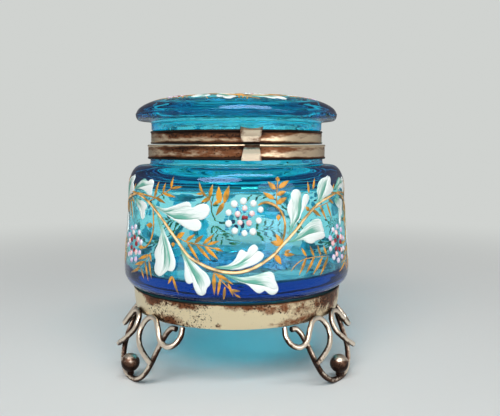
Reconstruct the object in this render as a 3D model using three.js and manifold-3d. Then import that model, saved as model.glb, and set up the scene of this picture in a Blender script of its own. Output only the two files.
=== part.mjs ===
import * as THREE from 'three';
import { mergeVertices } from 'three/addons/utils/BufferGeometryUtils.js';
import Module from 'manifold-3d';

// A glass dressing table jar: a blown bowl and a hinged blown lid in brass mounts, on a brass
// base ring with three feet of bent wire. Heights are measured up from the table; the whole jar
// is then set down so that its origin is the middle of the bowl's flat underside. Front is -Y.
// A height adds up from what carries it, and a radius goes inwards from the bowl's widest line.

// Clearances and counts
const fitGap = 0.3;
const cementGap = 0.2;
const cutOverrun = 2;
const roundFacets = 36;
const wireSides = 4;
const loopSteps = 32;
const scrollSteps = 24;
const ballFacets = 12;
const hingeFacets = 16;

// Glass bowl
const bowlRadius = 45.2;
const bowlWall = 2.6;
const bowlFloor = 4.2;
const heelRadius = 5.6;
const heelInnerRadius = 4.6;
const bodyHeight = 37.4;
const bellyRise = 9.7;
const taperRise = 17.7;
const shoulderInset = 2.2;
const shoulderReach = 5;
const shoulderRise = 9;
const shoulderLand = 2.7;
const neckWall = 2.5;
const neckHeight = 5.5;
const neckFillet = 1.2;
const rimRound = 0.5;

// Sheet brass collars on the two necks
const collarWall = 0.6;
const collarHeight = 5.5;
const lidCollarHeight = 4.9;
const lidCollarInset = 1.2;
const beadHeight = 0.8;
const beadProud = 0.3;

// Glass lid
const lidWall = 2.4;
const lidNeckWall = 2.9;
const lidNeckInset = 0.5;
const lidNeckStep = 0.6;
const lidNeckRise = 4;
const lidOverhang = 6;
const lidRimDepth = 2.5;
const lidCrownRise = 8.1;
const lidRimRound = 1.5;
const lidFillet = 1.3;
const lidFlangeInset = 0.9;

// Plaster beds
const bedHeight = 1.1;

// Base ring
const ringFoot = 22.4;
const ringHeight = 9;
const ringInset = 3.7;
const ringTaper = 0.9;
const ringWall = 0.8;
const ringEdgeRound = 0.5;
const ledgeWidth = 6.8;
const ledgeThickness = 0.8;

// Clasp tabs at the front
const tabThickness = 0.7;
const thumbTabRaise = 0.6;
const thumbTabHeight = 5.2;
const thumbTabFootWidth = 6.5;
const thumbTabTopWidth = 7.9;
const thumbTabReach = 2.3;
const thumbTabHollow = 0.7;
const catchTabDrop = 0.1;
const catchTabHeight = 5.5;
const catchTabFootWidth = 7.2;
const catchTabTopWidth = 5;
const catchTabReach = 1.9;

// Hinge at the back
const barrelRadius = 1.9;
const pinRadius = 0.75;
const pinHeadRadius = 1.3;
const pinHeadLength = 0.7;
const hingeWidth = 16;
const lidKnuckleWidth = 7.4;
const leafThickness = 0.7;
const neckLeafHeight = 4;
const lidLeafHeight = 3.4;

// Wire feet
const wireRadius = 0.95;
const flatDepth = 0.2;
const footSpread = 6.8;
const footHalfAngle = 28;
const leftFootAngle = -64;
const rightFootAngle = 44;
const rearFootAngle = 168;
const ballRadius = 3.4;
const pegRadius = 1.2;
const pegHeight = 0.85;

// One half of the foot's carrying loop, from its soldered end to the middle of its sole:
// share of the foot's half angle, share of the height of the ring's foot.
const loopShares = [
  [0.865, 0.943],
  [0.765, 0.94],
  [0.69, 0.87],
  [0.63, 0.74],
  [0.575, 0.56],
  [0.515, 0.38],
  [0.4, 0.19],
  [0.22, 0.065],
];

// A scroll from its soldered end, round the small loop, over the peak and down to its cut end:
// share of the half angle, share of the ring foot's height, share of a wire's lift off the loop.
const scrollShares = [
  [0.985, 0.975, 0],
  [1.01, 0.86, 0.35],
  [0.95, 0.75, 0.75],
  [0.83, 0.71, 1],
  [0.68, 0.77, 1.1],
  [0.55, 0.92, 1.1],
  [0.4, 1.03, 1],
  [0.24, 1.04, 1],
  [0.12, 0.95, 1],
  [0.1, 0.8, 1.05],
  [0.22, 0.65, 1.2],
  [0.42, 0.52, 1.1],
  [0.61, 0.42, 1],
];

// A tab's side view from its soldered end: shares of its reach outwards and of its height
const thumbTabShares = [
  [0, 0],
  [0, 0.35],
  [0.35, 0.75],
  [1, 1],
];
const catchTabShares = [
  [0, 0],
  [0, 0.45],
  [0.3, 0.72],
  [0.75, 0.9],
  [1, 1],
];

// The lid's crown from its widest line to its middle: shares of its radius and of its rise
const crownShares = [
  [1, 0],
  [0.967, 0.284],
  [0.835, 0.654],
  [0.506, 0.932],
  [0, 1],
];

// Heights, each worked out from what carries it
const ringTop = ringFoot + ringHeight;
const bowlSeat = ringTop + fitGap;
const heelTop = bowlSeat + heelRadius;
const shoulderStart = bowlSeat + bodyHeight;
const shoulderTop = shoulderStart + shoulderRise;
const neckTop = shoulderTop + neckHeight;
const neckBedFoot = neckTop + fitGap;
const collarTop = neckBedFoot + bedHeight + fitGap + collarWall;
const collarFoot = collarTop - collarHeight;
const seamHeight = collarTop + fitGap / 2;
const lidCollarFoot = collarTop + fitGap;
const lidCollarTop = lidCollarFoot + lidCollarHeight;
const lidBedFoot = lidCollarFoot + collarWall + fitGap;
const lidRimUnder = lidCollarTop + lidNeckRise;
const lidRimWidest = lidRimUnder + lidRimDepth;
const lidTop = lidRimWidest + lidCrownRise;
const ledgeTop = ringTop - bedHeight - fitGap;

// Radii, worked inwards from the bowl's widest line
const shoulderRadius = bowlRadius - shoulderInset;
const shoulderCentre = shoulderRadius - shoulderReach;
const neckRadius = shoulderCentre - shoulderLand - neckFillet;
const neckBore = neckRadius - neckWall;
const collarRadius = neckRadius + cementGap + collarWall + beadProud;
const collarFlangeBore = neckBore + fitGap;
const lidCollarRadius = collarRadius - lidCollarInset;
const lidCollarBore = lidCollarRadius - beadProud - collarWall;
const lidNeckRadius = lidCollarRadius - lidNeckInset;
const lidNeckBore = lidNeckRadius - lidNeckWall;
const lidCollarFlangeBore = lidNeckBore + lidFlangeInset;
const lidRadius = lidNeckRadius + lidOverhang;
const ringTopRadius = bowlRadius - ringInset;
const ringFootRadius = ringTopRadius - ringTaper;
const ringBore = ringFootRadius - ringWall;
const ledgeBore = ringBore - ledgeWidth;

// The hinge's line, and the lift and the clearance of the wires and the pin
const hingeOut = collarRadius + fitGap + barrelRadius;
const barrelBore = pinRadius + fitGap;
const wireLift = 2 * wireRadius + fitGap;

const glassLook = { color: 0x2fa6c4, roughness: 0.05, metalness: 0 };
const collarLook = { color: 0x7d6248, roughness: 0.45, metalness: 1 };
const ringLook = { color: 0xb3a183, roughness: 0.4, metalness: 1 };
const wireLook = { color: 0xc9b896, roughness: 0.35, metalness: 1 };
const plasterLook = { color: 0xd8d2c4, roughness: 0.95, metalness: 0 };

const library = await Module();
library.setup();

function toSolid(geometry) {
  const plain = geometry.clone();
  plain.deleteAttribute('normal');
  plain.deleteAttribute('uv');
  const merged = mergeVertices(plain);
  return new library.Manifold(new library.Mesh({
    numProp: 3,
    vertProperties: new Float32Array(merged.attributes.position.array),
    triVerts: new Uint32Array(merged.index.array),
  }));
}

function toGeometry(solid) {
  const mesh = solid.getMesh();
  const geometry = new THREE.BufferGeometry();
  geometry.setAttribute('position', new THREE.BufferAttribute(new Float32Array(mesh.vertProperties), 3));
  geometry.setIndex(new THREE.BufferAttribute(new Uint32Array(mesh.triVerts), 1));
  geometry.computeVertexNormals();
  return geometry;
}

function namedMesh(name, geometry, look) {
  const mesh = new THREE.Mesh(geometry, new THREE.MeshStandardMaterial(look));
  mesh.name = name;
  return mesh;
}

// Strings stretches of an outline together, dropping points that repeat.
function outline(...stretches) {
  const points = [];
  for (const point of stretches.flat()) {
    const last = points.at(-1);
    if (!last || last.distanceTo(point) > Number.EPSILON * bowlRadius) {
      points.push(point);
    }
  }
  return points;
}

function at(radius, height) {
  return new THREE.Vector2(radius, height);
}

function arc(radius, height, reachOut, reachUp, from, to, steps) {
  const curve = new THREE.EllipseCurve(radius, height, reachOut, reachUp, from, to, to < from);
  return curve.getPoints(steps);
}

// Turns an outline of radii and heights about the jar's upright axis.
function turned(points) {
  const geometry = new THREE.LatheGeometry(points, roundFacets);
  geometry.rotateX(Math.PI / 2);
  return geometry;
}

function closedTurned(points) {
  return turned([...points, points[0].clone()]);
}

function squareRing(innerRadius, outerRadius, foot, top) {
  return closedTurned([
    at(innerRadius, foot),
    at(outerRadius, foot),
    at(outerRadius, top),
    at(innerRadius, top),
  ]);
}

// The bowl. Its flat underside is one face over the ledge's bore, where it is bare, and another
// round that, where it lies on the plaster.
function bowlGeometry() {
  const quarter = Math.PI / 2;
  const heelCentre = bowlRadius - heelRadius;
  const bellyHeight = heelTop + bellyRise;
  const taperHeight = heelTop + taperRise;
  const outerWall = new THREE.CubicBezierCurve(
    at(bowlRadius, heelTop),
    at(bowlRadius, bellyHeight),
    at(shoulderRadius, taperHeight),
    at(shoulderRadius, shoulderStart),
  );
  const filletCentre = neckRadius + neckFillet;
  const innerShoulder = shoulderRadius - bowlWall;
  const innerRadius = bowlRadius - bowlWall;
  const floorTop = bowlSeat + bowlFloor;
  const innerHeelTop = floorTop + heelInnerRadius;
  const innerReach = shoulderReach - bowlWall / 2;
  const innerTop = shoulderTop - bowlWall;
  const innerWall = new THREE.CubicBezierCurve(
    at(innerShoulder, shoulderStart),
    at(innerShoulder, taperHeight),
    at(innerRadius, bellyHeight),
    at(innerRadius, innerHeelTop),
  );
  return turned(outline(
    [at(0, bowlSeat), at(ledgeBore - fitGap, bowlSeat)],
    arc(heelCentre, heelTop, heelRadius, heelRadius, -quarter, 0, 5),
    outerWall.getPoints(5),
    arc(shoulderCentre, shoulderStart, shoulderReach, shoulderTop - shoulderStart, 0, quarter, 6),
    arc(filletCentre, shoulderTop + neckFillet, neckFillet, neckFillet, -quarter, -2 * quarter, 3),
    arc(neckRadius - rimRound, neckTop - rimRound, rimRound, rimRound, 0, quarter, 2),
    arc(neckBore + rimRound, neckTop - rimRound, rimRound, rimRound, quarter, 2 * quarter, 2),
    [at(neckBore, shoulderTop), at(neckBore + neckFillet, innerTop)],
    arc(innerShoulder - innerReach, shoulderStart, innerReach, innerTop - shoulderStart, quarter, 0, 5),
    innerWall.getPoints(4),
    arc(innerRadius - heelInnerRadius, innerHeelTop, heelInnerRadius, heelInnerRadius, 0, -quarter, 4),
    [at(0, floorTop)],
  ));
}

function crown(radius, foot, top) {
  const rise = top - foot;
  const points = crownShares.map(([outShare, upShare]) => at(radius * outShare, foot + rise * upShare));
  return new THREE.SplineCurve(points).getPoints(9);
}

function lidGeometry() {
  const quarter = Math.PI / 2;
  const neckFoot = lidBedFoot + bedHeight + fitGap;
  const slimNeck = lidCollarBore - fitGap;
  const innerRadius = lidRadius - lidWall;
  const innerUnder = lidRimUnder + lidWall;
  const innerFoot = innerUnder + rimRound;
  const innerCrown = crown(innerRadius, innerFoot, lidTop - lidWall).reverse();
  return turned(outline(
    innerCrown,
    [at(innerRadius - rimRound, innerUnder)],
    arc(lidNeckBore + lidFillet, innerUnder - lidFillet, lidFillet, lidFillet, quarter, 2 * quarter, 3),
    [at(lidNeckBore, neckFoot), at(slimNeck, neckFoot), at(slimNeck, lidCollarTop)],
    [at(lidNeckRadius, lidCollarTop + lidNeckStep)],
    arc(lidNeckRadius + lidFillet, lidRimUnder - lidFillet, lidFillet, lidFillet, 2 * quarter, quarter, 3),
    arc(lidRadius - lidRimRound, lidRimWidest, lidRimRound, lidRimWidest - lidRimUnder, -quarter, 0, 4),
    crown(lidRadius, lidRimWidest, lidTop),
  ));
}

// A brass collar: a band between two beads, with a flange turned in over the glass.
function collarGeometry(radius, foot, top, flangeBore, flangeOnTop) {
  const bandRadius = radius - beadProud;
  const bore = bandRadius - collarWall;
  const outside = [
    at(radius - beadProud, foot),
    at(radius, foot + beadProud),
    at(radius, foot + beadHeight - beadProud),
    at(bandRadius, foot + beadHeight),
    at(bandRadius, top - beadHeight),
    at(radius, top - beadHeight + beadProud),
    at(radius, top - beadProud),
    at(radius - beadProud, top),
  ];
  const flangeAbove = [
    at(flangeBore, top),
    at(flangeBore, top - collarWall),
    at(bore, top - collarWall),
    at(bore, foot),
  ];
  const flangeBelow = [
    at(bore, top),
    at(bore, foot + collarWall),
    at(flangeBore, foot + collarWall),
    at(flangeBore, foot),
  ];
  return closedTurned([...outside, ...(flangeOnTop ? flangeAbove : flangeBelow)]);
}

// The base ring: a spun band with a rolled-in lower edge and a ledge that the bowl stands on.
function baseRingGeometry() {
  const topBore = ringTopRadius - ringWall;
  const edgeCentre = ringFootRadius - ringEdgeRound;
  const edge = arc(edgeCentre, ringFoot + ringEdgeRound, ringEdgeRound, ringEdgeRound, -Math.PI / 2, 0, 3);
  return closedTurned([
    at(ringBore - ringEdgeRound, ringFoot),
    ...edge,
    at(ringTopRadius, ringTop - ringEdgeRound),
    at(ringTopRadius - ringWall / 2, ringTop),
    at(topBore, ringTop),
    at(topBore, ledgeTop),
    at(ledgeBore, ledgeTop),
    at(ledgeBore, ledgeTop - ledgeThickness),
    at(ringBore, ledgeTop - ledgeThickness),
    at(ringBore, ringFoot + ringEdgeRound),
  ]);
}

// Where a point of a foot lies: at an angle from the foot's middle, a height and a lift off the
// swelling surface that the carrying loop follows.
function footPoint(angleShare, upShare, liftShare) {
  const angle = THREE.MathUtils.degToRad(footHalfAngle * angleShare);
  const swell = Math.sin((1 - upShare / loopShares[0][1]) * Math.PI / 2);
  const radius = ringFootRadius + footSpread * swell + wireLift * liftShare;
  return new THREE.Vector3(radius * Math.sin(angle), -radius * Math.cos(angle), ringFoot * upShare);
}

function wireGeometry(points, steps) {
  const section = new THREE.Shape();
  section.absarc(0, 0, wireRadius, 0, 2 * Math.PI, false);
  const route = new THREE.CatmullRomCurve3(points, false, 'centripetal');
  return new THREE.ExtrudeGeometry(section, {
    steps,
    curveSegments: wireSides,
    bevelEnabled: false,
    extrudePath: route,
  });
}

// The wire loop that carries the jar, filed flat where it meets the table.
function footLoopGeometry() {
  const half = loopShares.map(([angleShare, upShare]) => footPoint(-angleShare, upShare, 0));
  const sole = footPoint(0, 0, 0);
  sole.z = wireRadius - flatDepth;
  const otherHalf = loopShares.map(([angleShare, upShare]) => footPoint(angleShare, upShare, 0)).reverse();
  const wire = toSolid(wireGeometry([...half, sole, ...otherHalf], loopSteps));
  const reach = ringFootRadius + footSpread + cutOverrun;
  const table = new THREE.BoxGeometry(2 * reach, 2 * reach, cutOverrun);
  table.translate(0, -reach, -cutOverrun / 2);
  return toGeometry(wire.subtract(toSolid(table)));
}

function scrollGeometry(side) {
  const points = scrollShares.map(([angleShare, upShare, liftShare]) => (
    footPoint(side * angleShare, upShare, liftShare)
  ));
  return wireGeometry(points, scrollSteps);
}

// The ball above the sole, with the lump of solder that it stands on.
function footBallGeometry() {
  const outward = -footPoint(0, 0, 0).y;
  const pegFoot = 2 * wireRadius - flatDepth + fitGap;
  const ballHeight = pegFoot + pegHeight + ballRadius;
  const ball = new THREE.SphereGeometry(ballRadius, ballFacets, ballFacets / 2 + 2);
  ball.rotateX(Math.PI / 2);
  ball.translate(0, -outward, ballHeight);
  const peg = new THREE.CylinderGeometry(pegRadius, pegRadius, ballHeight - pegFoot, ballFacets);
  peg.rotateX(Math.PI / 2);
  peg.translate(0, -outward, (ballHeight + pegFoot) / 2);
  return toGeometry(toSolid(ball).add(toSolid(peg)));
}

function footGroup(name, angle) {
  const foot = new THREE.Group();
  foot.add(namedMesh(`${name}_foot_loop`, footLoopGeometry(), wireLook));
  foot.add(namedMesh(`${name}_foot_scroll_a`, scrollGeometry(-1), wireLook));
  foot.add(namedMesh(`${name}_foot_scroll_b`, scrollGeometry(1), wireLook));
  foot.add(namedMesh(`${name}_foot_ball`, footBallGeometry(), wireLook));
  foot.rotation.z = THREE.MathUtils.degToRad(angle);
  return foot;
}

// A tab of bent sheet, soldered at its foot and flaring out towards its other end. The outline is
// the tab's side view, and its width changes evenly with height.
function tabGeometry(foot, top, footWidth, topWidth, seatRadius, reach, sideShares) {
  const height = top - foot;
  const face = (radius) => sideShares.map(([outShare, upShare]) => (
    at(radius + reach * outShare, foot + height * upShare)
  ));
  const side = new THREE.Shape([...face(seatRadius + tabThickness), ...face(seatRadius).reverse()]);
  const geometry = new THREE.ExtrudeGeometry(side, { depth: footWidth, bevelEnabled: false, steps: 4 });
  geometry.translate(0, 0, -footWidth / 2);
  geometry.rotateX(Math.PI / 2);
  geometry.rotateZ(-Math.PI / 2);
  const places = geometry.attributes.position;
  for (let i = 0; i < places.count; i += 1) {
    const upShare = (places.getZ(i) - foot) / height;
    places.setX(i, places.getX(i) * (1 + (topWidth / footWidth - 1) * upShare));
  }
  geometry.computeVertexNormals();
  return geometry;
}

// The lid's thumb tab, with its upper edge hollowed.
function thumbTabGeometry() {
  const seatRadius = lidCollarRadius + fitGap;
  const thumbTabFoot = lidCollarFoot + thumbTabRaise;
  const thumbTabTop = thumbTabFoot + thumbTabHeight;
  const tab = toSolid(tabGeometry(
    thumbTabFoot, thumbTabTop, thumbTabFootWidth, thumbTabTopWidth,
    seatRadius, thumbTabReach, thumbTabShares,
  ));
  const halfWidth = thumbTabTopWidth / 2;
  const hollowRadius = (halfWidth * halfWidth + thumbTabHollow * thumbTabHollow) / (2 * thumbTabHollow);
  const hollowDepth = 2 * (thumbTabReach + cutOverrun);
  const hollow = new THREE.CylinderGeometry(hollowRadius, hollowRadius, hollowDepth, 3 * roundFacets);
  hollow.translate(0, -seatRadius - thumbTabReach / 2, thumbTabTop + hollowRadius - thumbTabHollow);
  return toGeometry(tab.subtract(toSolid(hollow)));
}

// The catch on the neck collar, whose lip rolls out under the thumb tab.
function catchTabGeometry() {
  const seatRadius = collarRadius + fitGap;
  const catchTabFoot = collarFoot - catchTabDrop;
  const catchTabTop = catchTabFoot + catchTabHeight;
  return tabGeometry(
    catchTabFoot, catchTabTop, catchTabFootWidth, catchTabTopWidth,
    seatRadius, catchTabReach, catchTabShares,
  );
}

function hingeCylinder(radius, width, centre) {
  const cylinder = new THREE.CylinderGeometry(radius, radius, width, hingeFacets);
  cylinder.rotateZ(Math.PI / 2);
  cylinder.translate(centre, hingeOut, seamHeight);
  return toSolid(cylinder);
}

// A hinge leaf: a piece of sheet that follows the collar behind it.
function leafSolid(seatRadius, width, foot, height) {
  const halfAngle = Math.asin(width / 2 / (seatRadius + leafThickness));
  const from = Math.PI / 2 - halfAngle;
  const to = Math.PI / 2 + halfAngle;
  const sheet = new THREE.Shape();
  sheet.absarc(0, 0, seatRadius + leafThickness, from, to, false);
  sheet.absarc(0, 0, seatRadius, to, from, true);
  const geometry = new THREE.ExtrudeGeometry(sheet, {
    depth: height,
    bevelEnabled: false,
    curveSegments: 4,
  });
  geometry.translate(0, 0, foot);
  return toSolid(geometry);
}

// The strap that runs from a leaf on to the barrel of a knuckle.
function strapSolid(width, centre, fromRadius, height) {
  const strap = new THREE.BoxGeometry(width, hingeOut - fromRadius, leafThickness);
  strap.translate(centre, (hingeOut + fromRadius) / 2, height);
  return toSolid(strap);
}

function neckLeafGeometry() {
  const knuckleWidth = (hingeWidth - lidKnuckleWidth) / 2 - fitGap;
  const knuckleCentre = (hingeWidth - knuckleWidth) / 2;
  const seatRadius = collarRadius + fitGap;
  const leafTop = collarTop + fitGap;
  const strapHeight = seamHeight - barrelRadius + leafThickness / 2;
  let solid = leafSolid(seatRadius, hingeWidth, leafTop - neckLeafHeight, neckLeafHeight);
  solid = solid.subtract(hingeCylinder(barrelRadius + fitGap, lidKnuckleWidth + 2 * fitGap, 0));
  for (const centre of [-knuckleCentre, knuckleCentre]) {
    solid = solid.add(strapSolid(knuckleWidth, centre, seatRadius + leafThickness / 2, strapHeight));
    solid = solid.add(hingeCylinder(barrelRadius, knuckleWidth, centre));
    solid = solid.subtract(hingeCylinder(barrelBore, knuckleWidth + cutOverrun, centre));
  }
  return toGeometry(solid);
}

function lidLeafGeometry() {
  const seatRadius = lidCollarRadius + fitGap;
  const strapHeight = seamHeight + barrelRadius - leafThickness / 2;
  const leafTop = lidCollarTop - fitGap;
  let solid = leafSolid(seatRadius, hingeWidth, leafTop - lidLeafHeight, lidLeafHeight);
  solid = solid.add(strapSolid(lidKnuckleWidth, 0, seatRadius + leafThickness / 2, strapHeight));
  solid = solid.add(hingeCylinder(barrelRadius, lidKnuckleWidth, 0));
  solid = solid.subtract(hingeCylinder(barrelBore, lidKnuckleWidth + cutOverrun, 0));
  return toGeometry(solid);
}

function hingePinGeometry() {
  const headCentre = (hingeWidth + pinHeadLength) / 2 + fitGap;
  let solid = hingeCylinder(pinRadius, hingeWidth + 2 * (fitGap + pinHeadLength), 0);
  for (const centre of [-headCentre, headCentre]) {
    solid = solid.add(hingeCylinder(pinHeadRadius, pinHeadLength, centre));
  }
  return toGeometry(solid);
}

function beddings() {
  const baseBedFoot = ledgeTop + fitGap;
  const neckInner = collarFlangeBore + fitGap;
  const lidInner = lidCollarFlangeBore + fitGap;
  const lidOuter = lidCollarBore - fitGap;
  return [
    namedMesh('base_plaster_bed', squareRing(
      ledgeBore + fitGap, bowlRadius - heelRadius, baseBedFoot, baseBedFoot + bedHeight,
    ), plasterLook),
    namedMesh('neck_plaster_bed', squareRing(
      neckInner, neckRadius, neckBedFoot, neckBedFoot + bedHeight,
    ), plasterLook),
    namedMesh('lid_plaster_bed', squareRing(
      lidInner, lidOuter, lidBedFoot, lidBedFoot + bedHeight,
    ), plasterLook),
  ];
}

function jarGroup() {
  const jar = new THREE.Group();
  jar.add(namedMesh('glass_bowl', bowlGeometry(), glassLook));
  jar.add(namedMesh('neck_collar', collarGeometry(
    collarRadius, collarFoot, collarTop, collarFlangeBore, true,
  ), collarLook));
  jar.add(namedMesh('base_ring', baseRingGeometry(), ringLook));
  jar.add(namedMesh('catch_tab', catchTabGeometry(), ringLook));
  jar.add(namedMesh('neck_hinge_leaf', neckLeafGeometry(), collarLook));
  jar.add(namedMesh('hinge_pin', hingePinGeometry(), collarLook));
  jar.add(footGroup('left', leftFootAngle));
  jar.add(footGroup('right', rightFootAngle));
  jar.add(footGroup('rear', rearFootAngle));
  return jar;
}

function lidGroup() {
  const lid = new THREE.Group();
  lid.add(namedMesh('glass_lid', lidGeometry(), glassLook));
  lid.add(namedMesh('lid_collar', collarGeometry(
    lidCollarRadius, lidCollarFoot, lidCollarTop, lidCollarFlangeBore, false,
  ), collarLook));
  lid.add(namedMesh('thumb_tab', thumbTabGeometry(), ringLook));
  lid.add(namedMesh('lid_hinge_leaf', lidLeafGeometry(), collarLook));
  return lid;
}

const dressingTableJar = new THREE.Group();
dressingTableJar.add(jarGroup(), lidGroup(), ...beddings());
dressingTableJar.position.z = -bowlSeat;

export default dressingTableJar;
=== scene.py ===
import math

import bpy
import numpy as np
from mathutils import Euler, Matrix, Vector


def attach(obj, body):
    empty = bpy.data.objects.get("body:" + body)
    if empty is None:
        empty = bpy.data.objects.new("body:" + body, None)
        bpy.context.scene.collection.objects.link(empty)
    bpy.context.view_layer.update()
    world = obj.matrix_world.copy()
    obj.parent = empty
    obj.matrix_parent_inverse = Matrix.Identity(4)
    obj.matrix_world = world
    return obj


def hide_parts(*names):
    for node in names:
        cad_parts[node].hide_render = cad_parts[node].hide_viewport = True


# The glass dressing table jar. Sizes are in millimetres, measured up from the underside of the
# glass bowl and out from the jar's upright axis. Front is -Y.
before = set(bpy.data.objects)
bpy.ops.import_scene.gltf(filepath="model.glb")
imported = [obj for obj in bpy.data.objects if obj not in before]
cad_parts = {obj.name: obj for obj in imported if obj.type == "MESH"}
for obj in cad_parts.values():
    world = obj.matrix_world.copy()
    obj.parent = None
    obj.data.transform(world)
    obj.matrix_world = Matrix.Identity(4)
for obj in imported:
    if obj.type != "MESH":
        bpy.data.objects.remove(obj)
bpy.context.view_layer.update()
mm = 0.001
quarter = math.pi / 2
print("frame loaded:", len(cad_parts), "nodes")


# Tools for node trees and materials

def addNode(tree, kind, inputs=None, **settings):
    node = tree.nodes.new(kind)
    for key, value in settings.items():
        setattr(node, key, value)
    for key, value in (inputs or {}).items():
        if isinstance(value, bpy.types.NodeSocket):
            tree.links.new(value, node.inputs[key])
        else:
            node.inputs[key].default_value = value
    return node


def newMaterial(name):
    material = bpy.data.materials.new(name)
    material.use_nodes = True
    material.node_tree.nodes.clear()
    return material, material.node_tree


def objectPlace(tree):
    return addNode(tree, "ShaderNodeTexCoord").outputs["Object"]


def axisOf(tree, vector, axis):
    return addNode(tree, "ShaderNodeSeparateXYZ", {0: vector}).outputs[axis]


def stored(tree, name, output="Fac"):
    return addNode(tree, "ShaderNodeAttribute", attribute_name=name).outputs[output]


def stretched(tree, vector, scale):
    return addNode(tree, "ShaderNodeMapping", {"Vector": vector, "Scale": scale}).outputs[0]


def noise(tree, vector, scale, detail, roughness=0.5):
    return addNode(tree, "ShaderNodeTexNoise", {
        "Vector": vector, "Scale": scale, "Detail": detail, "Roughness": roughness,
    }).outputs[0]


def maths(tree, operation, *values):
    return addNode(tree, "ShaderNodeMath", dict(enumerate(values)), operation=operation).outputs[0]


def ranged(tree, value, fromRange, toRange=(0.0, 1.0), smooth=False):
    return addNode(tree, "ShaderNodeMapRange", {
        "Value": value, "From Min": fromRange[0], "From Max": fromRange[1],
        "To Min": toRange[0], "To Max": toRange[1],
    }, interpolation_type="SMOOTHSTEP" if smooth else "LINEAR").outputs[0]


def blend(tree, factor, first, second):
    # first and second are colours or sockets
    colours = [(*colour, 1) if isinstance(colour, tuple) else colour for colour in (first, second)]
    return addNode(tree, "ShaderNodeMix", {
        0: factor, 6: colours[0], 7: colours[1],
    }, data_type="RGBA").outputs[2]


def bumped(tree, height, strength, depth):
    return addNode(tree, "ShaderNodeBump", {
        "Height": height, "Strength": strength, "Distance": depth * mm,
    }).outputs[0]


def mixedShaders(tree, factor, first, second):
    return addNode(tree, "ShaderNodeMixShader", {
        0: factor, 1: first.outputs[0], 2: second.outputs[0],
    }).outputs[0]


# Tools for outlines and meshes

def arcPoints(centre, reach, start, stop, steps):
    # an arc or, with two reaches, part of an ellipse; start and stop are in quarter turns
    reachOut, reachUp = reach if isinstance(reach, tuple) else (reach, reach)
    return [
        (centre[0] + reachOut * math.cos(a), centre[1] + reachUp * math.sin(a))
        for a in np.linspace(start * quarter, stop * quarter, steps + 1)
    ]


def bezierPoints(first, firstPull, lastPull, last, steps):
    corners = np.array([first, firstPull, lastPull, last], float)
    points = []
    for t in np.linspace(0, 1, steps + 1):
        shares = np.array([(1 - t) ** 3, 3 * t * (1 - t) ** 2, 3 * t * t * (1 - t), t ** 3])
        points.append(tuple(shares @ corners))
    return points


def splinePoints(points, steps):
    # a centripetal curve through the points, with that many steps between two of them
    places = np.array(points, float)
    places = np.vstack([2 * places[0] - places[1], places, 2 * places[-1] - places[-2]])
    drawn = []
    for i in range(1, len(places) - 2):
        p0, p1, p2, p3 = places[i - 1:i + 3]
        k1 = math.sqrt(np.linalg.norm(p1 - p0)) or 1
        k2 = k1 + (math.sqrt(np.linalg.norm(p2 - p1)) or 1)
        k3 = k2 + (math.sqrt(np.linalg.norm(p3 - p2)) or 1)
        for t in np.linspace(k1, k2, steps, endpoint=False):
            a1 = (k1 - t) / k1 * p0 + t / k1 * p1
            a2 = (k2 - t) / (k2 - k1) * p1 + (t - k1) / (k2 - k1) * p2
            a3 = (k3 - t) / (k3 - k2) * p2 + (t - k2) / (k3 - k2) * p3
            b1 = (k2 - t) / k2 * a1 + t / k2 * a2
            b2 = (k3 - t) / (k3 - k1) * a2 + (t - k1) / (k3 - k1) * a3
            drawn.append((k2 - t) / (k2 - k1) * b1 + (t - k1) / (k2 - k1) * b2)
    drawn.append(places[-2])
    return np.array(drawn)


def lengthsAlong(points):
    steps = np.linalg.norm(np.diff(points, axis=0), axis=1)
    return np.concatenate([[0], np.cumsum(steps)])


def tidyOutline(*stretches):
    kept = []
    for out, up in (point for stretch in stretches for point in stretch):
        if not kept or math.hypot(out - kept[-1][0], up - kept[-1][1]) > 1e-6:
            kept.append((out, up))
    return kept


def meshFrom(name, points, faces, sharpAngle):
    mesh = bpy.data.meshes.new(name)
    mesh.from_pydata([(x * mm, y * mm, z * mm) for x, y, z in points], [], faces)
    mesh.validate()
    mesh.shade_smooth()
    mesh.set_sharp_from_angle(angle=math.radians(sharpAngle))
    return mesh


def turnedMesh(name, outline, segments, sharpAngle):
    # an outline turned about the upright axis: its two ends lie on the axis, or it closes itself
    points, rings, faces = [], [], []
    for out, up in outline:
        if out < 1e-6:
            rings.append([len(points)] * segments)
            points.append((0, 0, up))
        else:
            rings.append(range(len(points), len(points) + segments))
            for k in range(segments):
                turn = 2 * math.pi * k / segments
                points.append((out * math.sin(turn), -out * math.cos(turn), up))
    openEnds = outline[0][0] < 1e-6
    for i in range(len(rings) - openEnds):
        lower, upper = rings[i], rings[(i + 1) % len(rings)]
        for k in range(segments):
            j = (k + 1) % segments
            corners = [lower[k], lower[j], upper[j], upper[k]]
            faces.append(list(dict.fromkeys(corners)))
    return meshFrom(name, points, faces, sharpAngle)


def routesMesh(name, routes):
    # a mesh of edges alone, one chain for each route
    points, edges = [], []
    for route in routes:
        edges += [(i, i + 1) for i in range(len(points), len(points) + len(route) - 1)]
        points += [tuple(np.array(point) * mm) for point in route]
    mesh = bpy.data.meshes.new(name)
    mesh.from_pydata(points, edges, [])
    return mesh


def meshPlaces(mesh, kind="co"):
    places = np.zeros(len(mesh.vertices) * 3)
    mesh.vertices.foreach_get(kind, places)
    return places.reshape(-1, 3)


def setPlaces(mesh, places):
    mesh.vertices.foreach_set("co", np.ascontiguousarray(places, float).ravel())
    mesh.update()


def setShare(mesh, name, values):
    attribute = mesh.attributes.get(name) or mesh.attributes.new(name, "FLOAT", "POINT")
    attribute.data.foreach_set("value", np.ascontiguousarray(values, np.float32).ravel())


def setVector(mesh, name, values):
    attribute = mesh.attributes.new(name, "FLOAT_VECTOR", "POINT")
    attribute.data.foreach_set("vector", np.array(values, np.float32).ravel())


def linked(name, data):
    thing = bpy.data.objects.new(name, data)
    bpy.context.scene.collection.objects.link(thing)
    return thing


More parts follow.
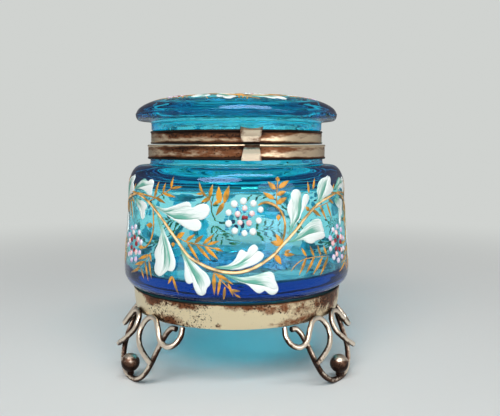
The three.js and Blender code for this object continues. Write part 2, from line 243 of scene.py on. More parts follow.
def addPiece(mesh, body, slot, material, replaced=()):
    piece = linked(mesh.name, mesh)
    mesh.materials.clear()
    mesh.materials.append(material)
    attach(piece, body)
    if replaced:
        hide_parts(*replaced)


# Tools for geometry node trees

def newTree(name, inputs):
    tree = bpy.data.node_groups.new(name, "GeometryNodeTree")
    tree.interface.new_socket("Geometry", in_out="INPUT", socket_type="NodeSocketGeometry")
    for label, kind, value in inputs:
        socket = tree.interface.new_socket(label, in_out="INPUT", socket_type=kind)
        if value is not None:
            socket.default_value = value
    tree.interface.new_socket("Geometry", in_out="OUTPUT", socket_type="NodeSocketGeometry")
    return tree, tree.nodes.new("NodeGroupInput"), tree.nodes.new("NodeGroupOutput")


def evenCurve(tree, given):
    route = addNode(tree, "GeometryNodeMeshToCurve", {"Mesh": given.outputs["Geometry"]})
    return addNode(tree, "GeometryNodeResampleCurve", {
        "Curve": route.outputs[0], "Length": given.outputs["Step Length"],
    }, mode="LENGTH")


def namedAttribute(tree, name, kind="FLOAT"):
    return addNode(
        tree, "GeometryNodeInputNamedAttribute", {"Name": name}, data_type=kind,
    ).outputs["Attribute"]


def closeTree(tree, given, taken, geometry):
    # every tree ends in Realize Instances and Set Material
    realized = addNode(tree, "GeometryNodeRealizeInstances", {"Geometry": geometry})
    painted = addNode(tree, "GeometryNodeSetMaterial", {
        "Geometry": realized.outputs[0], "Material": given.outputs["Material"],
    })
    tree.links.new(painted.outputs[0], taken.inputs[0])


def grown(mesh, tree, values):
    # the plain mesh that a geometry node tree makes of a mesh, under the same name
    host = linked(mesh.name, mesh)
    modifier = host.modifiers.new("grow", "NODES")
    modifier.node_group = tree
    for item in tree.interface.items_tree:
        if item.item_type == "SOCKET" and item.in_out == "INPUT" and item.name in values:
            modifier[item.identifier] = values[item.name]
    bpy.context.view_layer.update()
    seen = host.evaluated_get(bpy.context.evaluated_depsgraph_get())
    result = bpy.data.meshes.new_from_object(seen)
    host.modifiers.remove(modifier)
    bpy.data.objects.remove(host)
    name = mesh.name
    bpy.data.meshes.remove(mesh)
    result.name = name
    return result


# Tools for tarnish, painted shade and painted highlights, which lie in soft humps round a piece and along
# its edges

def turnOf(places):
    return np.degrees(np.arctan2(places[:, 0], -places[:, 1]))


def hump(away, width):
    return np.exp(-(away / width) ** 2)


def humps(away, rows):
    # each row: how strong, where and how wide
    return sum(amount * hump(away - at, width) for amount, at, width in rows)


# Camera, at the photograph's angle

camera = {
    "lens": 43.06,
    "sensor": 36.0,
    "distance": 240.5,
    "azimuth": -8.0,
    "height": 53.3,
    "pitchDown": 5.824,
    "turnRight": 1.264,
    "clip": (0.01, 60),
    "pictureWidth": 500,
    "pictureHeight": 416,
}


def makeCamera():
    data = bpy.data.cameras.new("photoCamera")
    data.sensor_fit = "HORIZONTAL"
    data.sensor_width = camera["sensor"]
    data.lens = camera["lens"]
    data.clip_start, data.clip_end = camera["clip"]
    stand = linked("photoCamera", data)
    azimuth = math.radians(camera["azimuth"])
    stand.location = Vector((
        camera["distance"] * math.sin(azimuth),
        -camera["distance"] * math.cos(azimuth),
        camera["height"],
    )) * mm
    stand.rotation_euler = Euler((
        quarter - math.radians(camera["pitchDown"]),
        0,
        azimuth - math.radians(camera["turnRight"]),
    ))
    bpy.context.scene.camera = stand
    return stand


photoCamera = makeCamera()


# Glass

glass = {
    "absorbed": (0.335, 0.038, 0.013),  # of red, green and blue light, for each millimetre
    "sheen": (0.4, 0.6, 1.0),
    "paintedGlow": (0.02, 0.3, 1.0),  # painted glow: faint blue light that the glass gives off itself
    "paintedGlowStrength": 0.008,
    "lampsPass": (0.90, 0.92, 0.94),
    "roughness": 0.015,
    "refraction": 1.5,
    "ripple": 0.12,
    "rippleSize": 9.0,
    "rippleStretch": 3.2,
    "rippleDetail": 1.5,
    "rippleDepth": 1.0,
}


def glassMaterial(name):
    material, tree = newMaterial(name)
    place = stretched(tree, objectPlace(tree), (1, 1, glass["rippleStretch"]))
    ripple = noise(tree, place, 1 / (glass["rippleSize"] * mm), glass["rippleDetail"])
    clear = addNode(tree, "ShaderNodeBsdfPrincipled", {
        "Base Color": (1, 1, 1, 1),
        "Roughness": glass["roughness"],
        "IOR": glass["refraction"],
        "Transmission Weight": 1.0,
        "Specular Tint": (*glass["sheen"], 1),
        "Emission Color": (*glass["paintedGlow"], 1),
        "Emission Strength": glass["paintedGlowStrength"],
        "Normal": bumped(tree, ripple, glass["ripple"], glass["rippleDepth"]),
    })
    lampsPass = addNode(tree, "ShaderNodeBsdfTransparent", {"Color": (*glass["lampsPass"], 1)})
    rays = addNode(tree, "ShaderNodeLightPath")
    most = max(glass["absorbed"])
    body = addNode(tree, "ShaderNodeVolumeAbsorption", {
        "Color": (*[1 - amount / most for amount in glass["absorbed"]], 1), "Density": most / mm,
    })
    addNode(tree, "ShaderNodeOutputMaterial", {
        "Surface": mixedShaders(tree, rays.outputs["Is Shadow Ray"], clear, lampsPass),
        "Volume": body.outputs[0],
    })
    return material


turquoiseGlass = glassMaterial("turquoiseGlass")


# Glass bowl

bowl = {
    "radius": 44.85,
    "wall": 1.75,
    "floor": 1.4,
    "floorEdge": 7.2,
    "floorBend": 1.1,
    "heel": 5.6,
    "innerHeel": 1.2,
    "innerHeelTurn": 0.92,  # of a quarter turn, before the dished floor begins
    "bellyUp": 15.3,
    "taperUp": 23.3,
    "shoulderIn": 2.2,
    "shoulderReach": 5.0,
    "innerReach": 6.0,
    "shoulderStart": 37.4,
    "shoulderTop": 46.4,
    "shoulderThick": 5.6,
    "neckRadius": 34.1,
    "neckWall": 2.5,
    "neckTop": 51.9,
    "fillet": 1.2,
    "rimRound": 0.5,
    "segments": 180,
    "sharpAngle": 80,
}


def bowlOutside():
    radius, heel, reach = bowl["radius"], bowl["heel"], bowl["shoulderReach"]
    shoulder = radius - bowl["shoulderIn"]
    rise = bowl["shoulderTop"] - bowl["shoulderStart"]
    return tidyOutline(
        arcPoints((radius - heel, heel), heel, -1, 0, 14),
        bezierPoints(
            (radius, heel), (radius, bowl["bellyUp"]),
            (shoulder, bowl["taperUp"]), (shoulder, bowl["shoulderStart"]), 24,
        ),
        arcPoints((shoulder - reach, bowl["shoulderStart"]), (reach, rise), 0, 1, 16),
    )


def bowlInside(bore, fillet):
    # from the neck's bore down over the shoulder and the wall to the middle of the dished floor
    inner = bowl["radius"] - bowl["wall"]
    shoulder = bowl["radius"] - bowl["shoulderIn"] - bowl["wall"]
    top = bowl["shoulderTop"] - bowl["shoulderThick"]
    heel, reach = bowl["innerHeel"], bowl["innerReach"]
    heelTop = bowl["floorEdge"] + heel
    rise = bowl["floorEdge"] - bowl["floor"]
    return tidyOutline(
        arcPoints((bore + fillet, top + fillet), fillet, 2, 3, 6),
        arcPoints((shoulder - reach, bowl["shoulderStart"]), (reach, top - bowl["shoulderStart"]), 1, 0, 14),
        bezierPoints(
            (shoulder, bowl["shoulderStart"]), (shoulder, bowl["taperUp"]),
            (inner, bowl["bellyUp"]), (inner, heelTop), 18,
        ),
        arcPoints((inner - heel, heelTop), heel, 0, -bowl["innerHeelTurn"], 8),
        [
            ((inner - heel) * out, bowl["floor"] + rise * out ** bowl["floorBend"])
            for out in np.linspace(1, 0, 25)
        ],
    )


def makeBowl():
    neck, fillet, rim = bowl["neckRadius"], bowl["fillet"], bowl["rimRound"]
    bore = neck - bowl["neckWall"]
    rimUp = bowl["neckTop"] - rim
    outline = tidyOutline(
        [(0, 0)],
        bowlOutside(),
        arcPoints((neck + fillet, bowl["shoulderTop"] + fillet), fillet, -1, -2, 6),
        arcPoints((neck - rim, rimUp), rim, 0, 1, 4),
        arcPoints((bore + rim, rimUp), rim, 1, 2, 4),
        bowlInside(bore, fillet),
    )
    mesh = turnedMesh("blown_bowl", outline, bowl["segments"], bowl["sharpAngle"])
    addPiece(mesh, "jar", "blue_glass", turquoiseGlass, ["glass_bowl"])


makeBowl()


# Glass lid

lid = {
    "radius": 39.5,
    "wall": 2.6,
    "rimThick": 8.0,
    "neckRadius": 33.5,
    "neckWall": 2.9,
    "neckFoot": 56.8,
    "slimNeck": 32.8,
    "collarTop": 59.4,
    "neckStep": 0.6,
    "rimUnder": 63.4,
    "rimWidest": 65.9,
    "top": 73.2,
    "rimRound": 1.5,
    "innerRound": 0.5,
    "fillet": 1.3,
    # the crown's curve, in shares of its radius and of its height
    "crown": [(1, 0), (0.967, 0.284), (0.835, 0.654), (0.506, 0.915), (0, 0.95)],
    "segments": 180,
    "sharpAngle": 80,
}


def crownCurve(radius, start, top):
    crown = [(radius * out, start + (top - start) * up) for out, up in lid["crown"]]
    return [tuple(point) for point in splinePoints(crown, 10)]


def makeLid():
    radius, neck, slim, fillet = lid["radius"], lid["neckRadius"], lid["slimNeck"], lid["fillet"]
    rim, under, widest = lid["rimRound"], lid["rimUnder"], lid["rimWidest"]
    inner = radius - lid["rimThick"]
    bore = neck - lid["neckWall"]
    innerUnder = under + lid["wall"]
    outline = tidyOutline(
        crownCurve(inner, innerUnder + lid["innerRound"], lid["top"] - lid["wall"])[::-1],
        [(inner - lid["innerRound"], innerUnder)],
        arcPoints((bore + fillet, innerUnder - fillet), fillet, 1, 2, 6),
        [(bore, lid["neckFoot"]), (slim, lid["neckFoot"]), (slim, lid["collarTop"])],
        [(neck, lid["collarTop"] + lid["neckStep"])],
        arcPoints((neck + fillet, under - fillet), fillet, 2, 1, 6),
        arcPoints((radius - rim, widest), (rim, widest - under), -1, 0, 8),
        crownCurve(radius, widest, lid["top"]),
    )
    mesh = turnedMesh("blown_lid", outline, lid["segments"], lid["sharpAngle"])
    addPiece(mesh, "lid", "blue_glass", turquoiseGlass, ["glass_lid"])


makeLid()
print("glass made")


# Brass. Sizes of its patches, specks and pits are in millimetres; the other values are shares.

ringBrass = {
    "pale": (0.90, 0.755, 0.50),
    "brown": (0.28, 0.105, 0.048),
    "dark": (0.055, 0.025, 0.016),
    "patchSize": 5.0,
    "patchDetail": 6.0,
    "patchRoughness": 0.62,
    "streak": 1.3,
    "speckSize": 0.7,
    "speckDetail": 3.0,
    "speckRoughness": 0.7,
    "patchFrom": 0.56,
    "patchTo": 0.82,
    "speckFrom": 0.575,
    "speckSoft": 0.08,
    "grimeAndShadeDepth": 0.22,
    "tarnishAndShadeWeight": 0.3,
    # patches and specks gather here and thin out there
    "crowdSize": 5.0,  # in patches
    "crowdDetail": 1.0,
    "crowdRange": (0.35, 0.65),
    "crowdShift": (-0.09, 0.09),
    "nearRange": (0.4, 0.7),
    "nearShift": (-0.06, 0.1),
    "polished": 0.3,
    "dull": 0.5,
    "pitted": 0.35,
    "pitDepth": 0.25,
}
collarBrass = {
    **ringBrass,
    "pale": (0.86, 0.67, 0.46),
    "brown": (0.23, 0.088, 0.04),
    "dark": (0.03, 0.016, 0.012),
    "patchSize": 6.0,
    "streak": 3.4,
    "patchFrom": 0.30,
    "patchTo": 0.58,
    "speckFrom": 0.66,
}
tabBrass = {
    **ringBrass,
    "pale": (0.84, 0.71, 0.54),
    "brown": (0.22, 0.10, 0.055),
    "patchSize": 3.4,
    "patchFrom": 0.52,
    "patchTo": 0.86,
    "speckFrom": 0.72,
    "polished": 0.36,
    # painted shade along the tabs' seam and down their sides
    "lineAt": 53.9,
    "lineWidth": 1.7,
    "seamShade": 0.5,
    "sideAt": 2.4,
    "sideWidth": 1.6,
    "sideShade": 0.34,
}
wireBrass = {
    **ringBrass,
    "pale": (0.88, 0.75, 0.61),
    "brown": (0.14, 0.075, 0.05),
    "dark": (0.03, 0.016, 0.012),
    "patchSize": 4.0,
    "patchFrom": 0.58,
    "patchTo": 0.76,
    "speckFrom": 0.68,
    "tarnishAndShadeWeight": 0.55,
    "polished": 0.33,
    "pitted": 0.2,
}


def tabDarkening(tree, place, brass, thick):
    # painted shade along the line where the two tabs meet and down their sides
    up = maths(tree, "SUBTRACT", axisOf(tree, place, "Z"), brass["lineAt"] * mm)
    fromLine = maths(tree, "ABSOLUTE", up)
    line = ranged(tree, fromLine, (0, brass["lineWidth"] * mm), (brass["seamShade"], 0), smooth=True)
    across = maths(tree, "ABSOLUTE", axisOf(tree, place, "X"))
    edge = (brass["sideAt"] * mm, (brass["sideAt"] + brass["sideWidth"]) * mm)
    side = ranged(tree, across, edge, (0, brass["sideShade"]))
    return maths(tree, "ADD", maths(tree, "ADD", thick, line), side)


def brassMaterial(name, brass):
    # brass rubbed pale and polished under tarnish: a pale tone, a brown tarnish that lies in patches,
    # and dark specks and pits. Each piece's stored tarnish, painted shade and painted highlights add to the
    # patches
    material, tree = newMaterial(name)
    place = objectPlace(tree)
    patchScale = 1 / (brass["patchSize"] * mm)
    crowdScale = 1 / (brass["crowdSize"] * brass["patchSize"] * mm)
    streaked = stretched(tree, place, (1, 1, brass["streak"]))
    patches = noise(tree, streaked, patchScale, brass["patchDetail"], brass["patchRoughness"])
    specks = noise(tree, place, 1 / (brass["speckSize"] * mm), brass["speckDetail"], brass["speckRoughness"])
    edged = maths(tree, "MULTIPLY", stored(tree, "tarnish"), brass["tarnishAndShadeWeight"])
    thick = maths(tree, "ADD", patches, edged)
    if "lineAt" in brass:
        thick = tabDarkening(tree, place, brass, thick)
    crowds = noise(tree, place, crowdScale, brass["crowdDetail"])
    crowd = ranged(tree, crowds, brass["crowdRange"], brass["crowdShift"])
    thick = maths(tree, "ADD", thick, crowd)
    nearby = ranged(tree, thick, brass["nearRange"], brass["nearShift"])
    speckled = maths(tree, "ADD", maths(tree, "ADD", specks, crowd), nearby)
    speckled = ranged(
        tree, speckled, (brass["speckFrom"], brass["speckFrom"] + brass["speckSoft"]), smooth=True,
    )
    tarnish = ranged(tree, thick, (brass["patchFrom"], brass["patchTo"]), smooth=True)
    # the darkest tone where tarnish and painted shade lie thickest
    grimeAndShade = ranged(tree, thick, (brass["patchTo"], brass["patchTo"] + brass["grimeAndShadeDepth"]))
    tone = blend(tree, tarnish, brass["pale"], brass["brown"])
    shader = addNode(tree, "ShaderNodeBsdfPrincipled", {
        "Base Color": blend(tree, maths(tree, "MAXIMUM", speckled, grimeAndShade), tone, brass["dark"]),
        "Metallic": 1.0,
        "Roughness": ranged(tree, tarnish, (0, 1), (brass["polished"], brass["dull"])),
        "Normal": bumped(tree, specks, brass["pitted"], brass["pitDepth"]),
    })
    addNode(tree, "ShaderNodeOutputMaterial", {"Surface": shader.outputs[0]})
    return material


ringMetal = brassMaterial("wornRingBrass", ringBrass)
collarMetal = brassMaterial("tarnishedCollarBrass", collarBrass)
tabMetal = brassMaterial("paleTabBrass", tabBrass)
wireMetal = brassMaterial("wornWireBrass", wireBrass)


# Feet of bent wire: a carrying loop, two scrolls and a ball on each

foot = {
    "wireRadius": 0.99,
    "wireStep": 0.45,
    "wireSides": 18,
    "flat": 0.2,
    "soleLift": 0.02,
    "spread": 6.75,
    "halfAngle": 28.0,
    "lift": 2.08,
    "ringRadius": 40.6,
    "height": 22.4,
    "table": -31.7,
    "ballRadius": 3.38,
    "ballUp": 6.25,
    "ballOpen": 0.76,  # of a quarter turn, where the peg under the ball begins
    "pegRadius": 1.2,
    "pegUp": 1.8,
    "angles": {"left": -64.0, "right": 44.0, "rear": 168.0},
    # the wires' courses, in shares of the half angle and the height, and of the lift
    "loop": [
        (0.865, 0.943), (0.765, 0.94), (0.69, 0.87), (0.63, 0.74),
        (0.575, 0.56), (0.515, 0.38), (0.4, 0.19), (0.22, 0.065),
    ],
    "scroll": [
        (0.985, 0.975, 0), (1.01, 0.86, 0.35), (0.95, 0.75, 0.75), (0.83, 0.71, 1),
        (0.68, 0.77, 1.1), (0.55, 0.92, 1.1), (0.4, 1.03, 1), (0.24, 1.04, 1),
        (0.12, 0.95, 1), (0.1, 0.8, 1.05), (0.22, 0.65, 1.2), (0.42, 0.52, 1.1), (0.61, 0.42, 1),
    ],
    # tarnish over each wire, with painted highlight on the sides that face out and up and painted shade on
    # the sides that face in and down
    "loopTarnish": 1.08,
    "scrollTarnish": 0.76,
    "litOutward": 0.85,
    "litUpward": 0.35,
    "wireTarnishRange": (-0.2, 1.2),
    "ballTarnish": 0.75,
    "ballLitTop": 0.7,
    "ballTarnishRange": (0, 1.2),
    "ballSegments": 48,
    "ballSharpAngle": 40,
}


def wireTree():
    # draws a round wire along a mesh of edges
    tree, given, taken = newTree("wireAlongRoute", [
        ("Wire Radius", "NodeSocketFloat", foot["wireRadius"] * mm),
        ("Step Length", "NodeSocketFloat", foot["wireStep"] * mm),
        ("Sides", "NodeSocketInt", foot["wireSides"]),
        ("Material", "NodeSocketMaterial", None),
    ])
    section = addNode(tree, "GeometryNodeCurvePrimitiveCircle", {
        "Resolution": given.outputs["Sides"], "Radius": given.outputs["Wire Radius"],
    })
    wire = addNode(tree, "GeometryNodeCurveToMesh", {
        "Curve": evenCurve(tree, given).outputs[0],
        "Profile Curve": section.outputs[0],
        "Fill Caps": True,
    })
    smooth = addNode(tree, "GeometryNodeSetShadeSmooth", {"Geometry": wire.outputs[0]})
    closeTree(tree, given, taken, smooth.outputs[0])
    return tree


def footPoint(angleShare, upShare, liftShare, turn):
    angle = math.radians(foot["halfAngle"] * angleShare + turn)
    swell = math.sin((1 - upShare / foot["loop"][0][1]) * quarter)
    out = foot["ringRadius"] + foot["spread"] * swell + foot["lift"] * liftShare
    return (out * math.sin(angle), -out * math.cos(angle), foot["table"] + foot["height"] * upShare)


def filedFlat(mesh):
    # the sole is filed flat where the wire stands on the table
    places = meshPlaces(mesh)
    places[:, 2] = np.maximum(places[:, 2], foot["table"] * mm)
    setPlaces(mesh, places)


def wireTarnishAndShade(mesh, turn, strength):
    normals = meshPlaces(mesh, "normal")
    turn = math.radians(turn)
    outward = normals[:, 0] * math.sin(turn) - normals[:, 1] * math.cos(turn)
    # painted highlight and shade: less darkness on the sides that face out and up
    paintedLight = foot["litOutward"] * outward + foot["litUpward"] * normals[:, 2]
    setShare(mesh, "tarnish", np.clip(strength - paintedLight, *foot["wireTarnishRange"]))


def makeBall(side, turn):
    centre = footPoint(0, 0, 0, turn)
    up, radius = foot["table"] + foot["ballUp"], foot["ballRadius"]
    pegUp = foot["table"] + foot["pegUp"]
    outline = tidyOutline(
        [(0, pegUp), (foot["pegRadius"], pegUp)],
        arcPoints((0, up), radius, -foot["ballOpen"], 1, 22),
    )
    outline[-1] = (0, up + radius)
    mesh = turnedMesh(f"{side}_ball", outline, foot["ballSegments"], foot["ballSharpAngle"])
    places = meshPlaces(mesh)
    # painted shade: the ball is darker low down and paler towards its top
    paintedLight = (places[:, 2] / mm - up) / radius * foot["ballLitTop"]
    tarnish = np.clip(foot["ballTarnish"] - paintedLight, *foot["ballTarnishRange"])
    setShare(mesh, "tarnish", tarnish)
    places[:, :2] += np.array(centre[:2]) * mm
    setPlaces(mesh, places)
    addPiece(mesh, "jar", "foot_wire", wireMetal, [f"{side}_foot_ball"])


def makeFoot(side, turn):
    half = [footPoint(-angle, up, 0, turn) for angle, up in foot["loop"]]
    otherHalf = [footPoint(angle, up, 0, turn) for angle, up in foot["loop"]][::-1]
    sole = list(footPoint(0, 0, 0, turn))
    sole[2] = foot["table"] + foot["wireRadius"] - foot["flat"] + foot["soleLift"]
    wires = {
        "loop": [*half, sole, *otherHalf],
        "scroll_a": [footPoint(-angle, up, lift, turn) for angle, up, lift in foot["scroll"]],
        "scroll_b": [footPoint(angle, up, lift, turn) for angle, up, lift in foot["scroll"]],
    }
    for part, points in wires.items():
        route = routesMesh(f"{side}_{part}_wire", [splinePoints(points, 8)])
        mesh = grown(route, drawWire, {
            "Wire Radius": foot["wireRadius"] * mm, "Step Length": foot["wireStep"] * mm,
            "Sides": foot["wireSides"], "Material": wireMetal,
        })
        if part == "loop":
            filedFlat(mesh)
        wireTarnishAndShade(mesh, turn, foot["loopTarnish"] if part == "loop" else foot["scrollTarnish"])
        addPiece(mesh, "jar", "foot_wire", wireMetal, [f"{side}_foot_{part}"])
    makeBall(side, turn)


# Base ring: a spun band with a ledge inside that the bowl stands on

baseRing = {
    "foot": -9.3,
    "top": -0.3,
    "topRadius": 41.5,
    "footRadius": 40.6,
    "belly": 0.35,
    "wall": 0.8,
    "edgeRound": 0.5,
    "ledgeBore": 33.0,
    "ledgeTop": -1.7,
    "ledgeThickness": 0.8,
    "rim": 0.45,
    "segments": 180,
    "sharpAngle": 35,
    # darker along the top edge, where the glass sits on it: how strong, how far below the top and how wide
    "topEdgeBands": [(0.7, 0, 1.1), (2.0, 0, 0.3)],
    # round the solder at each side of a foot: how strong, how wide in degrees and how tall
    "solderTurn": 22.0,
    "solderTarnish": (0.8, 9, 2.4),
    "mostTarnishAndShade": 2.0,
    "insideMargin": 0.2,
    # each patch of tarnish: its angle and height, how wide in degrees and tall, and how strong
    "patches": [
        (-56, -2.6, 7, 2.2, 1.3), (-43, -7.2, 7, 1.8, 1.1), (-33, -2.2, 4, 1.0, 0.8),
        (10, -2.9, 15, 1.9, 0.75), (30, -4.2, 13, 3.0, 1.0), (9, -8.0, 6, 0.9, 0.8),
        (-18, -7.6, 3, 0.9, 0.8), (52, -3.2, 10, 3.4, 1.4), (-20, -1.6, 30, 0.7, 0.5),
        (26, -7.4, 12, 1.4, 0.6), (86, -2.4, 12, 1.6, 0.9), (112, -6.8, 9, 1.8, 0.8),
        (136, -2.8, 14, 1.4, 0.8), (180, -3.2, 13, 2.2, 1.0), (-150, -7.0, 10, 1.6, 0.8),
        (-122, -2.6, 12, 1.8, 0.9), (-90, -6.6, 10, 2.0, 0.8),
    ],
}


def ringTarnishAndShade(places, bore):
    ring = baseRing
    up, turn = places[:, 2], turnOf(places)
    tarnish = humps(ring["top"] - up, ring["topEdgeBands"])
    amount, wide, tall = ring["solderTarnish"]
    for angle in foot["angles"].values():
        for side in (-1, 1):
            away = (turn - angle - side * ring["solderTurn"] + 180) % 360 - 180
            tarnish += amount * hump(away, wide) * hump(up - ring["foot"], tall)
    for angle, height, wide, tall, amount in ring["patches"]:
        tarnish += amount * hump(turn - angle, wide) * hump(up - height, tall)
    # inside, under the bowl, the ring is at its darkest: dark oxide and painted shade
    inside = np.hypot(places[:, 0], places[:, 1]) < bore + ring["insideMargin"]
    return np.where(inside, ring["mostTarnishAndShade"], np.clip(tarnish, 0, ring["mostTarnishAndShade"]))


def makeBaseRing():
    ring = baseRing
    low, high, edge, rim, belly = ring["foot"], ring["top"], ring["edgeRound"], ring["rim"], ring["belly"]
    bore = ring["footRadius"] - ring["wall"]
    topBore = ring["topRadius"] - ring["wall"]
    ledgeUnder = ring["ledgeTop"] - ring["ledgeThickness"]
    outline = tidyOutline(
        [(bore - edge, low)],
        arcPoints((ring["footRadius"] - edge, low + edge), edge, -1, 0, 6),
        bezierPoints(
            (ring["footRadius"], low + edge), (ring["footRadius"] + belly, low + 3 * edge),
            (ring["topRadius"] - belly / 3, high - 3 * edge),
            (ring["topRadius"] - belly / 2, high - edge), 12,
        ),
        arcPoints((ring["topRadius"] - rim, high - rim), rim, -0.5, 2, 8),
        [(topBore, ring["ledgeTop"]), (ring["ledgeBore"], ring["ledgeTop"])],
        [(ring["ledgeBore"], ledgeUnder), (bore, ledgeUnder), (bore, low + edge)],
    )
    mesh = turnedMesh("spun_base_ring", outline, ring["segments"], ring["sharpAngle"])
    setShare(mesh, "tarnish", ringTarnishAndShade(meshPlaces(mesh) / mm, bore))
    addPiece(mesh, "jar", "pale_brass", ringMetal, ["base_ring"])


makeBaseRing()


# Collars: rolled sheet bands with a bead along each edge

collars = {
    # painted shade and painted highlight lines by the edges, darker round the tabs, and painted highlights
    # at two places round the collar: how strong, where, how wide
    "neck": {
        "radius": 35.2, "foot": 48.7, "top": 54.2, "flangeBore": 31.9, "flangeAbove": True,
        "footShadeAndHighlight": [(2.8, 0, 0.8), (-0.3, 1.9, 0.8)],
        "topEdgeBands": [(-1.1, 0, 0.6), (0.5, 1.5, 0.6)],
        "tabDarkening": 0.3,
    },
    "lid": {
        "radius": 34.0, "foot": 54.5, "top": 59.4, "flangeBore": 31.5, "flangeAbove": False,
        "footShadeAndHighlight": [(2.8, 0, 0.45), (-0.8, 1.3, 0.7)],
        "topEdgeBands": [(3.0, 0, 0.8), (0.5, 0, 2.0)],
        "tabDarkening": 0.7,
    },
    "tabWidth": 10,
    "highlightedEnds": [(0.57, 56, 26), (0.45, -78, 14)],
    "wall": 0.6,
    "bead": 0.42,
    "beadProud": 0.3,
    "bandFrom": 2.3,  # beads' radii from the edge
    "segments": 180,
    "sharpAngle": 35,
}


def collarInside(collar, bore):
    low, high, flange, wall = collar["foot"], collar["top"], collar["flangeBore"], collars["wall"]
    if collar["flangeAbove"]:
        return [(flange, high), (flange, high - wall), (bore, high - wall), (bore, low)]
    return [(bore, high), (bore, low + wall), (flange, low + wall), (flange, low)]


def collarShading(places, collar):
    up, turn = places[:, 2], turnOf(places)
    # painted shade and painted highlight lines by the foot and the top, darker round the tabs, and painted
    # highlights at two places round the collar
    tarnish = humps(up - collar["foot"], collar["footShadeAndHighlight"])
    tarnish += humps(collar["top"] - up, collar["topEdgeBands"])
    tarnish += collar["tabDarkening"] * hump(turn, collars["tabWidth"])
    return tarnish - humps(turn, collars["highlightedEnds"])


def makeCollar(name, body, replaced, collar):
    proud, bead = collars["beadProud"], collars["bead"]
    low, high, straight = collar["foot"], collar["top"], collars["bandFrom"] * collars["bead"]
    band = collar["radius"] - proud
    outline = tidyOutline(
        arcPoints((band - proud / 2, low + bead), bead, -1, 1, 8),
        [(band, up) for up in np.linspace(low + straight, high - straight, 9)],
        arcPoints((band - proud / 2, high - bead), bead, -1, 1, 8),
        collarInside(collar, band - collars["wall"]),
    )
    mesh = turnedMesh(name, outline, collars["segments"], collars["sharpAngle"])
    setShare(mesh, "tarnish", collarShading(meshPlaces(mesh) / mm, collar))
    addPiece(mesh, body, "dark_brass", collarMetal, [replaced])


makeCollar("neck_band", "jar", "neck_collar", collars["neck"])
makeCollar("lid_band", "lid", "lid_collar", collars["lid"])
drawWire = wireTree()
for side, turn in foot["angles"].items():
    makeFoot(side, turn)
print("brass made")


# Enamel: painted and fired in relief. It is laid out flat, in millimetres round the wall and up
# its outline, and then wrapped onto the glass. Places read off the photograph are in its pixels.

enamel = {
    "relief": 0.28,
    "sunk": 0.05,
    "stayInside": 45.15,
    "thinnest": 0.04,
    "petalRows": 24,
    "petalColumns": 11,
    "domeRise": 0.4,
    "domeFoot": 0.15,
    "domeEdge": 0.05,
    "sharpAngle": 70,
    "mostRise": 1.3,
    "seed": 7,
    "layoutRadius": 45.0,  # of the wall, where a millimetre of the flat layout is one on the glass
    "leanStep": 0.2,
    "heelSteps": 5,  # of the bowl's outline, below the lowest enamel
    "rayReach": (150, 260, 2201),
    "rayMiss": 3,
}
enamelDice = np.random.default_rng(enamel["seed"])


class Skin:
    # the outline of a turned surface, from its lower end (or its pole) onwards by its own length
    def __init__(self, outline, polar=False):
        self.out, self.up = np.array(outline, float).T
        self.length = lengthsAlong(np.array(outline, float))
        self.polar = polar

    def at(self, length):
        out = np.interp(length, self.length, self.out)
        up = np.interp(length, self.length, self.up)
        ahead, behind = length + enamel["leanStep"], length - enamel["leanStep"]
        leanOut = np.interp(ahead, self.length, self.out) - np.interp(behind, self.length, self.out)
        leanUp = np.interp(ahead, self.length, self.up) - np.interp(behind, self.length, self.up)
        size = np.hypot(leanOut, leanUp)
        side = -1 if self.polar else 1
        return out, up, side * leanUp / size, -side * leanOut / size

    def wrap(self, flat):
        # flat: right, up and outwards on the wall, or seen from above on the lid
        if self.polar:
            length = np.hypot(flat[:, 0], flat[:, 1])
            angle = np.arctan2(flat[:, 0], -flat[:, 1])
        else:
            length, angle = flat[:, 1], flat[:, 0] / enamel["layoutRadius"]
        out, up, leanOut, leanUp = self.at(length)
        radius = np.minimum(out + leanOut * flat[:, 2], enamel["stayInside"])
        return np.stack([radius * np.sin(angle), -radius * np.cos(angle), up + leanUp * flat[:, 2]], 1)

    def cast(self, pixel):
        # where the photograph's pixel meets the surface, laid out flat
        turn = photoCamera.rotation_euler.to_matrix()
        scale = camera["lens"] / camera["sensor"] * camera["pictureWidth"]
        ray = np.array(turn @ Vector((
            (pixel[0] - camera["pictureWidth"] / 2) / scale,
            (camera["pictureHeight"] / 2 - pixel[1]) / scale, -1,
        )))
        way = np.array(photoCamera.location) / mm + np.linspace(*enamel["rayReach"])[:, None] * ray
        order = np.argsort(self.up)
        low, high = self.up.min(), self.up.max()
        beyond = np.hypot(way[:, 0], way[:, 1]) - np.interp(way[:, 2], self.up[order], self.out[order])
        over = np.maximum(low - way[:, 2], 0) + np.maximum(way[:, 2] - high, 0)
        beyond += enamel["rayMiss"] * over
        inside = np.nonzero(beyond < 0)[0]
        hit = way[inside[0] if len(inside) else np.argmin(beyond)]
        angle = math.atan2(hit[0], -hit[1])
        length = np.interp(hit[2], self.up[order], self.length[order])
        if self.polar:
            return np.array([length * math.sin(angle), -length * math.cos(angle)])
        return np.array([angle * enamel["layoutRadius"], length])


wall = Skin(bowlOutside()[enamel["heelSteps"]:])
lidTop = Skin(crownCurve(lid["radius"], lid["rimWidest"], lid["top"])[::-1], polar=True)


